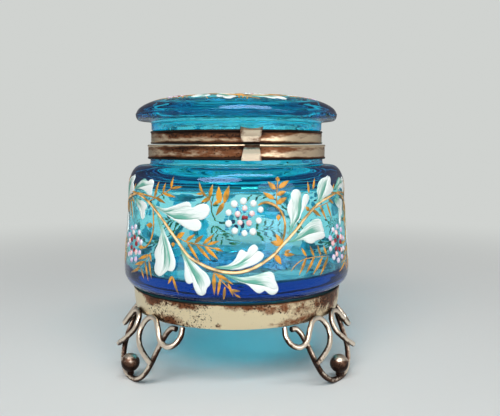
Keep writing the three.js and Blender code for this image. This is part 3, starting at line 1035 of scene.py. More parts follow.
class Relief:
    # closed dabs of enamel gathered into one flat mesh
    def __init__(self):
        self.points, self.faces, self.stroke, self.shade = [], [], [], []

    def dab(self, left, right, relief, columns, shadeOf=None, seed=0.0):
        # a domed dab between its left and right edges, which run from its foot to its tip
        middle, half = (left + right) / 2, (left - right) / 2
        ahead = np.gradient(middle, axis=0)
        side = np.stack([-ahead[:, 1], ahead[:, 0]], 1) / (np.linalg.norm(ahead, axis=1)[:, None] + 1e-9)
        width = np.linalg.norm(half, axis=1)
        half = np.where(width[:, None] < enamel["thinnest"], side * enamel["thinnest"], half)
        width = np.maximum(width, enamel["thinnest"])
        span = lengthsAlong(middle)
        across = np.sin(np.linspace(quarter, -quarter, columns))
        first, rows = len(self.points), len(middle)
        for i in range(rows):
            fullest = min(1, width[i] / relief * enamel["domeRise"] + enamel["domeFoot"])
            for a in across:
                dome = math.sqrt(max(0, 1 - a * a))
                height = relief * dome * fullest if dome >= enamel["domeEdge"] else -enamel["sunk"]
                self.points.append((*(middle[i] + half[i] * a), height))
                self.stroke.append((span[i], a * width[i], seed))
                self.shade.append(shadeOf(i / (rows - 1), (1 - a) / 2) if shadeOf else 0)
        for i in range(rows - 1):
            for k in range(columns):
                j = (k + 1) % columns
                here, there = first + i * columns, first + (i + 1) * columns
                self.faces.append((here + j, here + k, there + k, there + j))
        self.faces.append(tuple(first + k for k in range(columns)))
        self.faces.append(tuple(first + (rows - 1) * columns + k for k in range(columns))[::-1])

    def mesh(self, name):
        mesh = meshFrom(name, self.points, self.faces, enamel["sharpAngle"])
        setVector(mesh, "stroke", self.stroke)
        setShare(mesh, "shade", self.shade)
        return mesh


def evenLine(points, count):
    line = splinePoints(points, 8)
    span = lengthsAlong(line)
    wanted = np.linspace(0, span[-1], count)
    return np.stack([np.interp(wanted, span, line[:, k]) for k in (0, 1)], 1)


# Green on the white petals, in shares of a petal's length and width
petalGreen = {
    "fade": 0.3,
    "foot": 0.5,
    "spread": 0.55,
    "crease": 1.3,
    "creaseWidth": 0.02,
}


def addPetal(relief, first, second, greens):
    # a petal is two edges and its green: how much along each edge, and how far towards the tip
    count = enamel["petalRows"]
    first, second = evenLine(first, count), evenLine(second, count)
    ahead = first[-1] - first[0]
    across = first[count // 2] - second[count // 2]
    alongFirst, alongSecond, reach = greens
    if ahead[0] * across[1] - ahead[1] * across[0] < 0:
        first, second = second, first
        alongFirst, alongSecond = alongSecond, alongFirst

    def shadeOf(along, across):
        fade = np.clip((reach - along) / petalGreen["fade"], 0, 1)
        near = max(0, 1 - along / petalGreen["foot"])
        green = max(
            alongFirst * math.exp(-(across / petalGreen["spread"]) ** 2),
            alongSecond * math.exp(-((1 - across) / petalGreen["spread"]) ** 2),
        )
        atFirst, atSecond = across < petalGreen["creaseWidth"], across > 1 - petalGreen["creaseWidth"]
        crease = petalGreen["crease"] * (alongFirst * atFirst + alongSecond * atSecond)
        return max(near, green * fade + crease * fade)

    relief.dab(first, second, enamel["relief"], enamel["petalColumns"], shadeOf, enamelDice.uniform(0, 50))


def addLeaf(relief, leaf, place):
    corner, zoom = np.array(leaf["corner"]), leaf["zoom"]
    for first, second, greens in leaf["petals"]:
        edges = [
            [place(wall.cast(corner + np.array(spot) / zoom)) for spot in leaf[edge]]
            for edge in (first, second)
        ]
        addPetal(relief, *edges, greens)


# Every leaf is read off an enlarged piece of the photograph: the corner of that piece in the
# photograph, how many times it is enlarged, and the edges of its petals in the enlargement
leftPiece = {"corner": (140, 190), "zoom": 13.64}
lowerPiece = {"corner": (210, 235), "zoom": 19.6}
rightPiece = {"corner": (270, 165), "zoom": 17.42}
farLeftPiece = {"corner": (122, 168), "zoom": 26.14}
leaves = [
    {
        **leftPiece,
        "top": [
            (140, 168), (240, 222), (340, 250), (430, 225), (520, 192), (600, 165), (650, 158),
            (685, 180), (702, 236),
        ],
        "upperFold": [
            (145, 175), (240, 245), (350, 300), (450, 282), (560, 242), (640, 228), (702, 240),
        ],
        "crown": [
            (145, 175), (240, 245), (350, 298), (450, 278), (560, 238), (640, 222), (700, 240),
            (712, 246), (760, 215), (830, 190), (890, 185), (940, 220), (955, 272),
        ],
        "fold": [
            (145, 178), (240, 255), (350, 318), (410, 356), (480, 390), (560, 402), (680, 405),
            (770, 398), (840, 410), (900, 375), (938, 330), (955, 276),
        ],
        "lowerFold": [
            (148, 180), (240, 258), (350, 320), (410, 360), (480, 394), (560, 402), (680, 402),
            (770, 396), (822, 425), (838, 480),
        ],
        "bottom": [
            (150, 184), (240, 265), (350, 330), (430, 388), (500, 432), (580, 490), (650, 535),
            (730, 560), (792, 556), (830, 525), (838, 484),
        ],
        "petals": [
            ("top", "upperFold", (0.1, 0.8, 0.8)), ("lowerFold", "bottom", (0.35, 0, 0.5)),
            ("crown", "fold", (0.35, 1.0, 0.85)),
        ],
    },
    {
        **leftPiece,
        "left": [
            (228, 350), (262, 480), (285, 580), (268, 650), (245, 740), (207, 820), (195, 885),
            (214, 960), (198, 1030), (194, 1090), (215, 1142), (262, 1176),
        ],
        "fold": [
            (235, 350), (275, 480), (300, 590), (318, 700), (328, 800), (330, 900), (326, 1000),
            (308, 1070), (286, 1125), (262, 1176),
        ],
        "rightFold": [
            (240, 350), (290, 470), (325, 590), (360, 700), (392, 800), (415, 900), (420, 980),
            (408, 1050), (380, 1098), (345, 1128), (300, 1166), (264, 1176),
        ],
        "innerRight": [
            (240, 350), (290, 470), (322, 590), (355, 700), (386, 800), (408, 900), (412, 980),
            (400, 1050), (382, 1096),
        ],
        "right": [
            (246, 350), (302, 470), (348, 590), (392, 690), (428, 790), (458, 880), (485, 980),
            (480, 1050), (452, 1105), (415, 1112), (382, 1100),
        ],
        "petals": [
            ("left", "fold", (0, 0.5, 0.7)), ("innerRight", "right", (0.55, 0, 0.8)),
            ("fold", "rightFold", (1.0, 0.75, 0.95)),
        ],
    },
    {
        **leftPiece,
        "left": [
            (546, 790), (578, 900), (603, 990), (608, 1080), (608, 1180), (624, 1250), (660, 1282),
            (700, 1274), (718, 1256),
        ],
        "leftFold": [
            (550, 790), (588, 900), (625, 985), (655, 1060), (690, 1150), (712, 1215), (719, 1258),
        ],
        "middle": [
            (550, 790), (588, 900), (622, 985), (650, 1060), (685, 1150), (708, 1215), (720, 1270),
            (737, 1335), (765, 1395), (805, 1432), (850, 1440),
        ],
        "fold": [
            (553, 790), (600, 890), (645, 985), (690, 1075), (740, 1180), (785, 1280), (820, 1350),
            (840, 1400), (850, 1440),
        ],
        "right": [
            (560, 795), (604, 860), (665, 915), (750, 1000), (850, 1090), (920, 1150), (955, 1220),
            (964, 1270), (945, 1312), (908, 1342), (906, 1385), (888, 1422), (852, 1440),
        ],
        "petals": [
            ("left", "leftFold", (0, 0.3, 0.6)), ("middle", "fold", (0.1, 0.6, 0.7)),
            ("fold", "right", (1.0, 0.2, 0.9)),
        ],
    },
    {
        **lowerPiece,
        "top": [
            (258, 752), (350, 785), (480, 813), (600, 825), (750, 815), (880, 790), (1000, 752),
            (1100, 725), (1180, 718), (1240, 745), (1266, 800), (1276, 880), (1310, 950), (1335, 1020),
        ],
        "fold": [
            (258, 762), (380, 815), (500, 870), (640, 927), (760, 952), (880, 970), (1000, 988),
            (1120, 1018), (1230, 1062), (1300, 1062), (1335, 1024),
        ],
        "bottom": [
            (258, 768), (380, 828), (500, 888), (620, 938), (700, 956), (780, 1010), (850, 1080),
            (920, 1135), (980, 1146), (1030, 1120), (1065, 1088), (1110, 1120), (1180, 1170),
            (1240, 1176), (1300, 1140), (1335, 1090), (1336, 1028),
        ],
        "petals": [("fold", "bottom", (0.1, 0, 0.5)), ("top", "fold", (0.45, 1.0, 0.85))],
    },
    {
        **lowerPiece,
        "top": [
            (100, 630), (200, 608), (300, 600), (400, 560), (480, 490), (530, 400), (560, 330),
            (592, 295), (640, 288), (690, 318), (722, 338),
        ],
        "upperFold": [
            (100, 636), (200, 630), (310, 625), (420, 590), (520, 535), (600, 480), (660, 420),
            (700, 372), (722, 340),
        ],
        "crown": [
            (100, 636), (200, 628), (310, 620), (420, 585), (520, 530), (600, 474), (660, 414),
            (702, 370), (724, 336), (750, 270), (790, 222), (850, 190), (910, 200), (945, 262),
        ],
        "fold": [
            (100, 640), (200, 645), (320, 645), (450, 620), (570, 580), (680, 520), (780, 455),
            (850, 400), (910, 345), (945, 264),
        ],
        "lowerFold": [
            (100, 640), (200, 643), (320, 642), (450, 616), (570, 576), (680, 516), (780, 450),
            (850, 394), (900, 345), (955, 308), (1010, 335), (1052, 374),
        ],
        "bottom": [
            (100, 646), (200, 664), (320, 674), (450, 684), (600, 672), (700, 642), (790, 612),
            (880, 580), (960, 530), (1030, 470), (1056, 425), (1053, 376),
        ],
        "petals": [
            ("top", "upperFold", (0, 0.35, 0.7)), ("lowerFold", "bottom", (0.85, 0, 0.75)),
            ("crown", "fold", (0.1, 1.0, 0.85)),
        ],
    },
    {
        **rightPiece,
        "left": [
            (318, 1215), (340, 1110), (357, 1000), (345, 920), (308, 830), (298, 745), (325, 660),
            (366, 582),
        ],
        "leftFold": [
            (320, 1215), (350, 1110), (385, 1000), (415, 900), (425, 800), (408, 710), (390, 640),
            (367, 582),
        ],
        "crown": [
            (320, 1215), (350, 1110), (380, 1000), (408, 900), (418, 800), (400, 710), (384, 640),
            (364, 575), (370, 500), (400, 440), (440, 420), (485, 425),
        ],
        "fold": [
            (323, 1215), (380, 1110), (440, 1000), (495, 920), (522, 850), (542, 760), (548, 650),
            (544, 540), (525, 462), (487, 427),
        ],
        "rightFold": [
            (325, 1215), (385, 1110), (446, 1006), (502, 922), (528, 850), (548, 760), (556, 660),
            (570, 565), (598, 512), (640, 500),
        ],
        "right": [
            (328, 1215), (400, 1110), (465, 1010), (522, 930), (550, 850), (585, 785), (622, 720),
            (660, 650), (682, 580), (675, 530), (642, 501),
        ],
        "petals": [
            ("left", "leftFold", (0.1, 0.6, 0.8)), ("rightFold", "right", (0.25, 0, 0.7)),
            ("crown", "fold", (0.3, 1.0, 0.95)),
        ],
    },
    {
        **rightPiece,
        "top": [
            (300, 1343), (380, 1308), (450, 1265), (495, 1200), (550, 1130), (610, 1070), (680, 1000),
            (755, 950), (830, 933), (885, 955), (905, 1020), (925, 1095), (942, 1160),
        ],
        "fold": [
            (300, 1348), (400, 1325), (500, 1290), (580, 1256), (660, 1216), (750, 1189), (850, 1168),
            (942, 1164),
        ],
        "lowerFold": [
            (300, 1348), (400, 1324), (500, 1288), (580, 1253), (660, 1212), (750, 1185), (850, 1164),
            (935, 1164), (955, 1212),
        ],
        "bottom": [
            (300, 1352), (410, 1340), (500, 1320), (590, 1312), (630, 1345), (700, 1370), (755, 1362),
            (800, 1322), (860, 1302), (925, 1280), (955, 1240), (956, 1214),
        ],
        "petals": [("lowerFold", "bottom", (0.3, 0, 0.55)), ("top", "fold", (0.4, 1.0, 0.9))],
    },
    {
        **rightPiece,
        "left": [
            (790, 722), (825, 640), (832, 580), (818, 500), (818, 420), (835, 330), (870, 262),
            (920, 225), (965, 212), (1000, 180),
        ],
        "fold": [
            (792, 724), (845, 650), (885, 590), (915, 530), (945, 460), (970, 380), (990, 300),
            (1003, 235), (1001, 180),
        ],
        "rightFold": [
            (792, 724), (843, 650), (882, 588), (911, 528), (940, 458), (965, 378), (985, 300),
            (1002, 235), (1020, 195),
        ],
        "right": [
            (796, 728), (862, 657), (930, 590), (1010, 530), (1075, 480), (1103, 430), (1082, 375),
            (1050, 340), (1057, 260), (1042, 212), (1021, 196),
        ],
        "petals": [("rightFold", "right", (0.3, 0, 0.7)), ("left", "fold", (0.35, 1.0, 0.95))],
    },
    {
        **rightPiece,
        "frontOnly": True,
        "top": [(1140, 478), (1162, 400), (1196, 330), (1226, 288)],
        "under": [(1146, 484), (1192, 440), (1220, 370), (1227, 290)],
        "fanLeft": [(1150, 490), (1165, 600), (1184, 740), (1198, 880), (1204, 1000), (1215, 1050)],
        "fanRight": [(1156, 486), (1190, 580), (1214, 700), (1228, 860), (1230, 980), (1217, 1050)],
        "petals": [("top", "under", (0.2, 0.5, 0.8)), ("fanLeft", "fanRight", (0.5, 0.1, 0.8))],
    },
    {
        **farLeftPiece,
        "top": [
            (340, 540), (390, 450), (450, 380), (520, 310), (600, 275), (650, 320), (700, 340),
            (760, 290), (815, 310), (840, 360), (826, 430),
        ],
        "fold": [(346, 546), (430, 520), (520, 490), (620, 460), (700, 440), (770, 430), (826, 431)],
        "bottom": [
            (352, 552), (450, 552), (550, 572), (620, 612), (670, 682), (720, 722), (770, 716),
            (792, 650), (796, 550), (820, 470), (827, 433),
        ],
        "petals": [("fold", "bottom", (0.2, 0, 0.5)), ("top", "fold", (0.6, 1.0, 0.85))],
    },
    {
        **farLeftPiece,
        "left": [
            (368, 768), (362, 850), (388, 960), (438, 1060), (474, 1150), (490, 1240), (510, 1310),
            (545, 1345),
        ],
        "fold": [
            (372, 768), (430, 890), (480, 1000), (510, 1100), (530, 1200), (540, 1290), (546, 1345),
        ],
        "right": [
            (376, 766), (450, 826), (530, 850), (610, 900), (655, 980), (640, 1060), (604, 1110),
            (602, 1200), (590, 1290), (548, 1345),
        ],
        "petals": [("left", "fold", (0.1, 0.5, 0.8)), ("fold", "right", (0.6, 0, 0.7))],
    },
]

# The swag on the front runs between two flowers, and two narrower ones go round the back
flowers = {
    "left": (134.4, 237.5),
    "right": (337.6, 243.3),
}
leftEnd, rightEnd = wall.cast(flowers["left"])[0], wall.cast(flowers["right"])[0]
backSpan = (2 * math.pi * enamel["layoutRadius"] - (rightEnd - leftEnd)) / 2
squeeze = backSpan / (rightEnd - leftEnd)


def onFront(place):
    return np.array(place, float)


def onBack(number):
    def place(spot):
        across = (spot[0] - leftEnd) * squeeze
        return np.array([rightEnd + backSpan * number + across, spot[1]])
    return place


# The lid carries the same swag three times, smaller, round a flower in its middle. In the
# photograph the lobe of one of its leaves shows over the lid's edge.
lidSwag = {
    "scale": 0.5,
    "vineScale": 0.8,
    "lobeOnWall": (203, 294),
    "lobeOnLid": (230, 98),
    "flowerLeaflets": 9,
    "leafletFrom": 5.4,
    "leafletTo": 10.8,
    "leafletWidth": 1.7,
    "flowerRings": [(3.6, 9, 0.85, "white", 0.0), (1.9, 5, 0.85, "pink", 0.0), (0.0, 1, 0.85, "red", 0.0)],
}


def onLid(number):
    model, seen = wall.cast(lidSwag["lobeOnWall"]), lidTop.cast(lidSwag["lobeOnLid"])
    third = 2 * math.pi / 3
    seenTurn, seenReach = math.atan2(seen[0], -seen[1]), np.hypot(*seen)

    def place(spot):
        turn = seenTurn + third * (number + (spot[0] - model[0]) / (rightEnd - leftEnd))
        reach = seenReach - lidSwag["scale"] * (spot[1] - model[1])
        return np.array([reach * math.sin(turn), -reach * math.cos(turn)])
    return place


# Vines: round strokes of ochre. Each is its fullness and its route.

vine = {
    "width": 1.12,
    "thick": 0.34,
    "step": 0.7,
    "sides": 10,
    "tip": 0.25,  # of the full width
    "tipLength": 0.125,  # of the whole length
}
vineRoutes = [
    (1.0, [
        (130.5, 189.7), (139, 194.4), (148.7, 202), (161, 217.4), (176.4, 239.4), (188.9, 256.6),
        (199.4, 263.3), (211.8, 269), (223.3, 271.9), (234.8, 272.9), (244.4, 271.4), (253.9, 268.1),
        (265.4, 261.4), (274, 254.7), (281.7, 246.1), (297, 228.9), (305.6, 217.4), (319, 203),
        (328.5, 197.3), (337.1, 192.5), (343.8, 193),
    ]),
    (0.8, [
        (281.7, 244.2), (284.5, 232.7), (285, 223.1), (282.6, 214.5), (277.8, 207.8), (271.1, 203.5),
        (264.4, 202.6), (257.7, 205.4),
    ]),
    (0.6, [(153, 208.8), (153.5, 217.4), (153.5, 228.9), (150.6, 240.4), (145.8, 247), (140.6, 247.5)]),
]
sprigStems = [
    (0.32, [(148.7, 201.1), (155, 198.3), (163, 193.8), (173.6, 187.4)]),
    (0.34, [(217, 213.5), (222, 206.4), (224.4, 202)]),
    (0.28, [(212, 206), (209.5, 199), (205, 195), (199.8, 184)]),
    (0.34, [(176.4, 236.5), (187, 242), (204, 246), (221, 250.6)]),
    (0.3, [(151.6, 251.8), (145, 261), (134, 271)]),
    (0.3, [(213.8, 271.9), (221, 280), (229, 288.6), (238.6, 297)]),
    (0.36, [(277.6, 208), (276.6, 202), (277, 190), (277.8, 179)]),
    (0.3, [(290.3, 272), (296, 264.6), (302.7, 260), (314.5, 257.2), (328.5, 255.8)]),
    (0.3, [(309, 210.6), (320, 206), (331.4, 200.6)]),
    (0.3, [(274, 254.7), (277.6, 259)]),
]


def strokeTree():
    # draws a flattened stroke, thinner towards its ends, along a mesh of edges
    tree, given, taken = newTree("strokeAlongRoute", [
        ("Half Width", "NodeSocketFloat", vine["width"] / 2 * mm),
        ("Thickness", "NodeSocketFloat", vine["thick"] * mm),
        ("Step Length", "NodeSocketFloat", vine["step"] * mm),
        ("Sides", "NodeSocketInt", vine["sides"]),
        ("Material", "NodeSocketMaterial", None),
    ])
    fullness = namedAttribute(tree, "fullness")
    even = evenCurve(tree, given)
    level = addNode(tree, "GeometryNodeSetCurveNormal", {"Curve": even.outputs[0]}, mode="Z_UP")
    section = addNode(tree, "GeometryNodeCurvePrimitiveCircle", {
        "Resolution": given.outputs["Sides"], "Radius": 1.0,
    })
    squash = addNode(tree, "ShaderNodeCombineXYZ", {
        "X": given.outputs["Half Width"], "Y": given.outputs["Thickness"], "Z": 1.0,
    })
    flat = addNode(tree, "GeometryNodeTransform", {
        "Geometry": section.outputs[0], "Scale": squash.outputs[0],
    })
    stroke = addNode(tree, "GeometryNodeCurveToMesh", {
        "Curve": level.outputs[0], "Profile Curve": flat.outputs[0],
        "Scale": fullness, "Fill Caps": True,
    })
    smooth = addNode(tree, "GeometryNodeSetShadeSmooth", {"Geometry": stroke.outputs[0]})
    closeTree(tree, given, taken, smooth.outputs[0])
    return tree


def taperShares(count):
    t = np.linspace(0, 1, count)
    return vine["tip"] + (1 - vine["tip"]) * np.clip(np.minimum(t, 1 - t) / vine["tipLength"], 0, 1) ** 0.5


def strokesMesh(name, routes):
    lines = [splinePoints(route, 5) for fullness, route in routes]
    mesh = routesMesh(name, [np.pad(line, ((0, 0), (0, 1))) for line in lines])
    shares = [fullness * taperShares(len(line)) for (fullness, route), line in zip(routes, lines)]
    setShare(mesh, "fullness", np.concatenate(shares))
    return mesh


# Leaflets and beads: small dabs. Each leaflet is its foot and its tip in the photograph and its
# width in pixels.

leaflets = [
    ((154.4, 198.3), (158.7, 183), 3.2), ((155.4, 197.3), (165, 203), 3.2),
    ((163, 193.5), (165.9, 182.5), 2.8), ((163, 193.5), (176, 197.3), 2.8),
    ((171.2, 188.7), (173.1, 178.2), 2.6), ((171.2, 188.7), (182.2, 186.8), 2.6),
    ((219.8, 203), (218.8, 187), 5.6), ((224.4, 203), (228.8, 187), 4.8),
    ((219.5, 200.5), (212.8, 205), 3.2), ((224, 202.5), (216.8, 214), 3.8),
    ((209.5, 198.3), (212.8, 184.5), 3.4), ((210.5, 197.6), (202, 201.6), 3.4),
    ((206.1, 196.4), (200.6, 190.2), 2.4), ((201.8, 192.5), (199.2, 182), 2.2),
    ((203, 193.5), (197, 193.8), 2.2), ((177.2, 237.5), (184, 233), 4.4),
    ((186, 241.3), (194, 235.2), 3), ((187, 242.3), (199.4, 261.8), 2.7),
    ((194.6, 243.2), (202.6, 236), 3.2), ((196.5, 245), (210.4, 260.4), 3),
    ((203.2, 244.2), (213.2, 235.2), 3), ((205, 247), (217, 258.4), 3),
    ((207, 245), (219.6, 240.9), 2.7), ((213.8, 248), (222, 251.2), 2.5),
    ((148.7, 254.7), (138.6, 259), 3.2), ((149.7, 253.8), (151.2, 262), 2.8),
    ((144.9, 261.4), (134.9, 264.6), 3), ((145, 261.4), (147.8, 278.4), 2.5),
    ((148.7, 259), (151.2, 277), 2.4), ((140, 268), (132, 271.8), 2.6),
    ((141, 268), (143.6, 277.8), 2.4), ((171.7, 276.2), (168, 284), 2.7),
    ((172.4, 276.2), (178.1, 293), 2.5), ((213.8, 272.9), (214.2, 294.4), 3.4),
    ((216, 273.4), (233.2, 284.6), 3), ((220, 279), (217.8, 295.4), 2.7),
    ((224.8, 287), (223.7, 299), 2.5), ((228, 283.4), (233.2, 296.4), 2.3),
    ((229.6, 290.6), (239.6, 291.2), 2.5), ((235.2, 295), (241, 298), 2.1),
    ((278.6, 188), (288.2, 181.2), 4.2), ((275.6, 189.2), (268.8, 182.4), 4.2),
    ((276.9, 195), (285.6, 191.6), 4), ((274.4, 199), (262.9, 192), 4.2),
    ((276.9, 203.6), (286, 198.4), 4.6), ((281.7, 243.2), (276.4, 234.8), 4.2),
    ((281.7, 243.6), (271.4, 242.2), 4.8), ((275, 255), (281, 264), 5),
    ((284, 254.6), (293.6, 254.8), 3.4), ((284.6, 252.4), (290, 250.4), 2.6),
    ((306.5, 256.2), (301.8, 248.4), 2.7), ((314.2, 256), (310, 246.4), 2.9),
    ((320.9, 255.2), (317.6, 245.4), 2.9), ((326.6, 254.6), (323.4, 245.6), 2.9),
    ((306.5, 257.4), (299.4, 274.4), 3), ((314.7, 256.4), (305.8, 274.2), 3.2),
    ((322.8, 256.4), (312.8, 275), 3.2), ((328.2, 256), (321, 273.8), 3.4),
    ((312.3, 209.7), (320.4, 216.2), 3.4), ((320, 206), (326, 219), 3),
    ((326.6, 202.6), (331.8, 219), 2.9), ((309.6, 210.4), (305.8, 207), 3.6),
    ((328.5, 199.2), (333.4, 203.4), 3), ((308.9, 193), (307.8, 182.6), 2.5),
    ((313, 189.4), (314.4, 179.2), 2.5), ((332.6, 189.8), (334, 183.6), 2.2),
    ((152.6, 225), (146.9, 225), 4.6), ((278.4, 214.6), (278.2, 220.4), 4.4),
    ((277.8, 181.4), (277.8, 176.6), 4.6), ((172.9, 242.4), (173.1, 246.4), 3.6),
    ((143.2, 247.4), (138.6, 246.6), 3.6),
]
leaflet = {
    "stretch": 1.06,
    "pixelsPerMm": 2.45,
    # the dab's outline, in shares of its length: how far along, and how wide there
    "along": [0, 0.12, 0.32, 0.58, 0.84, 1],
    "width": [0.22, 0.62, 1, 0.9, 0.42, 0.06],
    "bend": 0.05,
    "columns": 7,
}
bead = {
    "tones": {"white": 0.0, "pink": 0.35, "lilac": 0.6, "red": 1.0},
    "high": 0.55,
    "uneven": 0.08,
    # the flower in the middle: the size of its beads and their places in the photograph
    "white": (1.22, [
        (243.4, 201.1), (253.4, 203.5), (260.6, 209.7), (258.7, 220.7), (253, 231.7),
        (244.4, 233.2), (234.8, 230.8), (228.6, 223.6), (228.6, 212.6), (234.3, 204),
    ]),
    "pink": (1.02, [(244.8, 208.3), (252, 213.6), (249.1, 223.1), (240, 222.7), (237.7, 214)]),
    "red": (0.62, [(243.6, 217.2), (246.2, 217.6)]),
    # the flower at the swag's end: each ring's radius, beads, their size and tone, and its start
    "sideRings": [(6.2, 10, 1.05, "lilac", 0.2), (4.092, 5, 1.05, "pink", 0.5), (2.5, 5, 0.945, "red", 0.1)],
    "outline": [(0, -0.2), (0.96, -0.2), (1, 0.1), (0.9, 0.48), (0.64, 0.8), (0.32, 0.95), (0, 1)],
    "segments": 12,
    "sharpAngle": 60,
}


def scatterTree():
    # sets one small dab at every point, turned and sized as it says there
    tree, given, taken = newTree("dabsOnPoints", [
        ("Dab", "NodeSocketObject", None),
        ("Uneven", "NodeSocketFloat", bead["uneven"]),
        ("Seed", "NodeSocketInt", enamel["seed"]),
        ("Material", "NodeSocketMaterial", None),
    ])
    lean = addNode(tree, "ShaderNodeCombineXYZ", {"Z": namedAttribute(tree, "turn")})
    luck = addNode(tree, "FunctionNodeRandomValue", {
        "Min": maths(tree, "SUBTRACT", 1.0, given.outputs["Uneven"]),
        "Max": maths(tree, "ADD", 1.0, given.outputs["Uneven"]),
        "Seed": given.outputs["Seed"],
    }, data_type="FLOAT")
    sized = addNode(tree, "ShaderNodeVectorMath", {
        0: namedAttribute(tree, "size", "FLOAT_VECTOR"),
        "Scale": next(socket for socket in luck.outputs if socket.enabled),
    }, operation="SCALE")
    dab = addNode(tree, "GeometryNodeObjectInfo", {"Object": given.outputs["Dab"]})
    rotation = addNode(tree, "FunctionNodeEulerToRotation", {0: lean.outputs[0]})
    spots = addNode(tree, "GeometryNodeMeshToPoints", {"Mesh": given.outputs["Geometry"]})
    placed = addNode(tree, "GeometryNodeInstanceOnPoints", {
        "Points": spots.outputs[0], "Instance": dab.outputs["Geometry"],
        "Rotation": rotation.outputs[0], "Scale": sized.outputs[0],
    })
    closeTree(tree, given, taken, placed.outputs[0])
    return tree


def spotsMesh(name, spots):
    # spots: place, turn, size along, across and up, and tone
    mesh = bpy.data.meshes.new(name)
    mesh.from_pydata([(u * mm, v * mm, 0) for (u, v), *_ in spots], [], [])
    setShare(mesh, "turn", [spot[1] for spot in spots])
    setVector(mesh, "size", [spot[2] for spot in spots])
    setShare(mesh, "tone", [spot[3] for spot in spots])
    return mesh


def leafletSpots(place, scale):
    spots = []
    for start, end, width in leaflets:
        start, end = place(wall.cast(start)), place(wall.cast(end))
        length = np.linalg.norm(end - start)
        turn = math.atan2(end[1] - start[1], end[0] - start[0])
        size = (length * leaflet["stretch"], scale * width / leaflet["pixelsPerMm"], enamel["relief"])
        spots.append((start, turn, size, enamelDice.uniform()))
    return spots


def beadSpot(place, size, tone):
    return (place, 0.0, (size, size, bead["high"] * size), bead["tones"][tone])


def ringSpots(centre, rings, scale=1.0):
    spots = []
    for radius, count, size, tone, start in rings:
        for k in range(count):
            turn = start + 2 * math.pi * k / count
            place = np.array(centre) + scale * radius * np.array([math.cos(turn), math.sin(turn)])
            spots.append(beadSpot(place, scale * size, tone))
    return spots


def beadSpots(place, scale):
    spots = []
    for tone in ("white", "pink", "red"):
        size, pixels = bead[tone]
        spots += [beadSpot(place(wall.cast(pixel)), scale * size, tone) for pixel in pixels]
    return spots + ringSpots(place(wall.cast(flowers["right"])), bead["sideRings"], scale)


def leafletDab():
    relief = Relief()
    along = np.array(leaflet["along"])
    half = np.array(leaflet["width"]) / 2
    bend = leaflet["bend"] * np.sin(np.pi * along)
    left, right = np.stack([along, bend + half], 1), np.stack([along, bend - half], 1)
    relief.dab(left, right, 1.0, leaflet["columns"])
    return linked("leafletDab", relief.mesh("leafletDab"))


def beadDab():
    mesh = turnedMesh("beadDab", bead["outline"], bead["segments"], bead["sharpAngle"])
    return linked("beadDab", mesh)


def fired(mesh, skin):
    # lays the flat work round the glass
    flat = meshPlaces(mesh) / mm
    flat[:, 2] = np.maximum(flat[:, 2], -enamel["sunk"])
    setShare(mesh, "rise", np.clip(flat[:, 2] / enamel["relief"], 0, enamel["mostRise"]))
    setPlaces(mesh, skin.wrap(flat) * mm)
    return mesh


# Enamel colours, and where one gives way to the next

enamelColours = {
    "white": (0.76, 0.82, 0.80),
    "green": (0.12, 0.40, 0.31),
    "deepGreen": (0.03, 0.15, 0.11),
    "ochre": (0.66, 0.29, 0.022),
    "ochreDark": (0.27, 0.145, 0.022),
    "ochrePale": (0.95, 0.72, 0.40),
    "pink": (0.84, 0.46, 0.47),
    "lilac": (0.60, 0.42, 0.62),
    "red": (0.28, 0.012, 0.02),
    "roughness": 0.28,
    "hairs": (0.25, 2.6, 1),
    "hairDetail": 3.0,
    "hairRange": (0.3, 0.7),
    "hairShift": (-0.22, 0.22),
    "greenRange": (0.14, 0.7),
    "deepGreenRange": (0.95, 1.45),
    "ochreGrain": 300.0,
    "ochreDetail": 4.0,
    "ochreDarkRange": (0.46, 0.6),
    "ochreTopRange": (0.35, 0.65),
    "ochreTopShift": (0.2, -0.2),
    "ochrePaleRange": (0.82, 1.22),
    "beadGrain": 650.0,
    "beadDetail": 2.0,
    "pinkRange": (0.17, 0.2),
    "lilacRange": (0.45, 0.5),
    "redRange": (0.8, 0.85),
    "palerRange": (0.42, 0.62),
    "palerMost": 0.75,
    "notRedRange": (0.7, 0.9),
}


def enamelMaterial(name, build):
    material, tree = newMaterial(name)
    shader = addNode(tree, "ShaderNodeBsdfPrincipled", {
        "Base Color": build(tree, enamelColours), "Roughness": enamelColours["roughness"],
    })
    addNode(tree, "ShaderNodeOutputMaterial", {"Surface": shader.outputs[0]})
    return material


def leafColour(tree, tones):
    # green drawn out of the white along each brush stroke
    hairs = stretched(tree, stored(tree, "stroke", "Vector"), tones["hairs"])
    uneven = noise(tree, hairs, 1.0, tones["hairDetail"])
    shift = ranged(tree, uneven, tones["hairRange"], tones["hairShift"])
    streaked = maths(tree, "ADD", stored(tree, "shade"), shift)
    green = blend(tree, ranged(tree, streaked, tones["greenRange"]), tones["white"], tones["green"])
    return blend(tree, ranged(tree, streaked, tones["deepGreenRange"]), green, tones["deepGreen"])


def ochreColour(tree, tones):
    uneven = noise(tree, objectPlace(tree), tones["ochreGrain"], tones["ochreDetail"])
    base = blend(tree, ranged(tree, uneven, tones["ochreDarkRange"]), tones["ochre"], tones["ochreDark"])
    # painted highlight: the ochre turns pale on the top of its relief
    shift = ranged(tree, uneven, tones["ochreTopRange"], tones["ochreTopShift"])
    top = maths(tree, "ADD", stored(tree, "rise"), shift)
    return blend(tree, ranged(tree, top, tones["ochrePaleRange"]), base, tones["ochrePale"])


def beadColour(tree, tones):
    tone = stored(tree, "tone")
    colour = tones["white"]
    for name in ("pink", "lilac", "red"):
        colour = blend(tree, ranged(tree, tone, tones[f"{name}Range"]), colour, tones[name])
    uneven = noise(tree, objectPlace(tree), tones["beadGrain"], tones["beadDetail"])
    paler = ranged(tree, uneven, tones["palerRange"], (0, tones["palerMost"]))
    notRed = ranged(tree, tone, tones["notRedRange"], (1, 0))
    return blend(tree, maths(tree, "MULTIPLY", paler, notRed), colour, tones["white"])


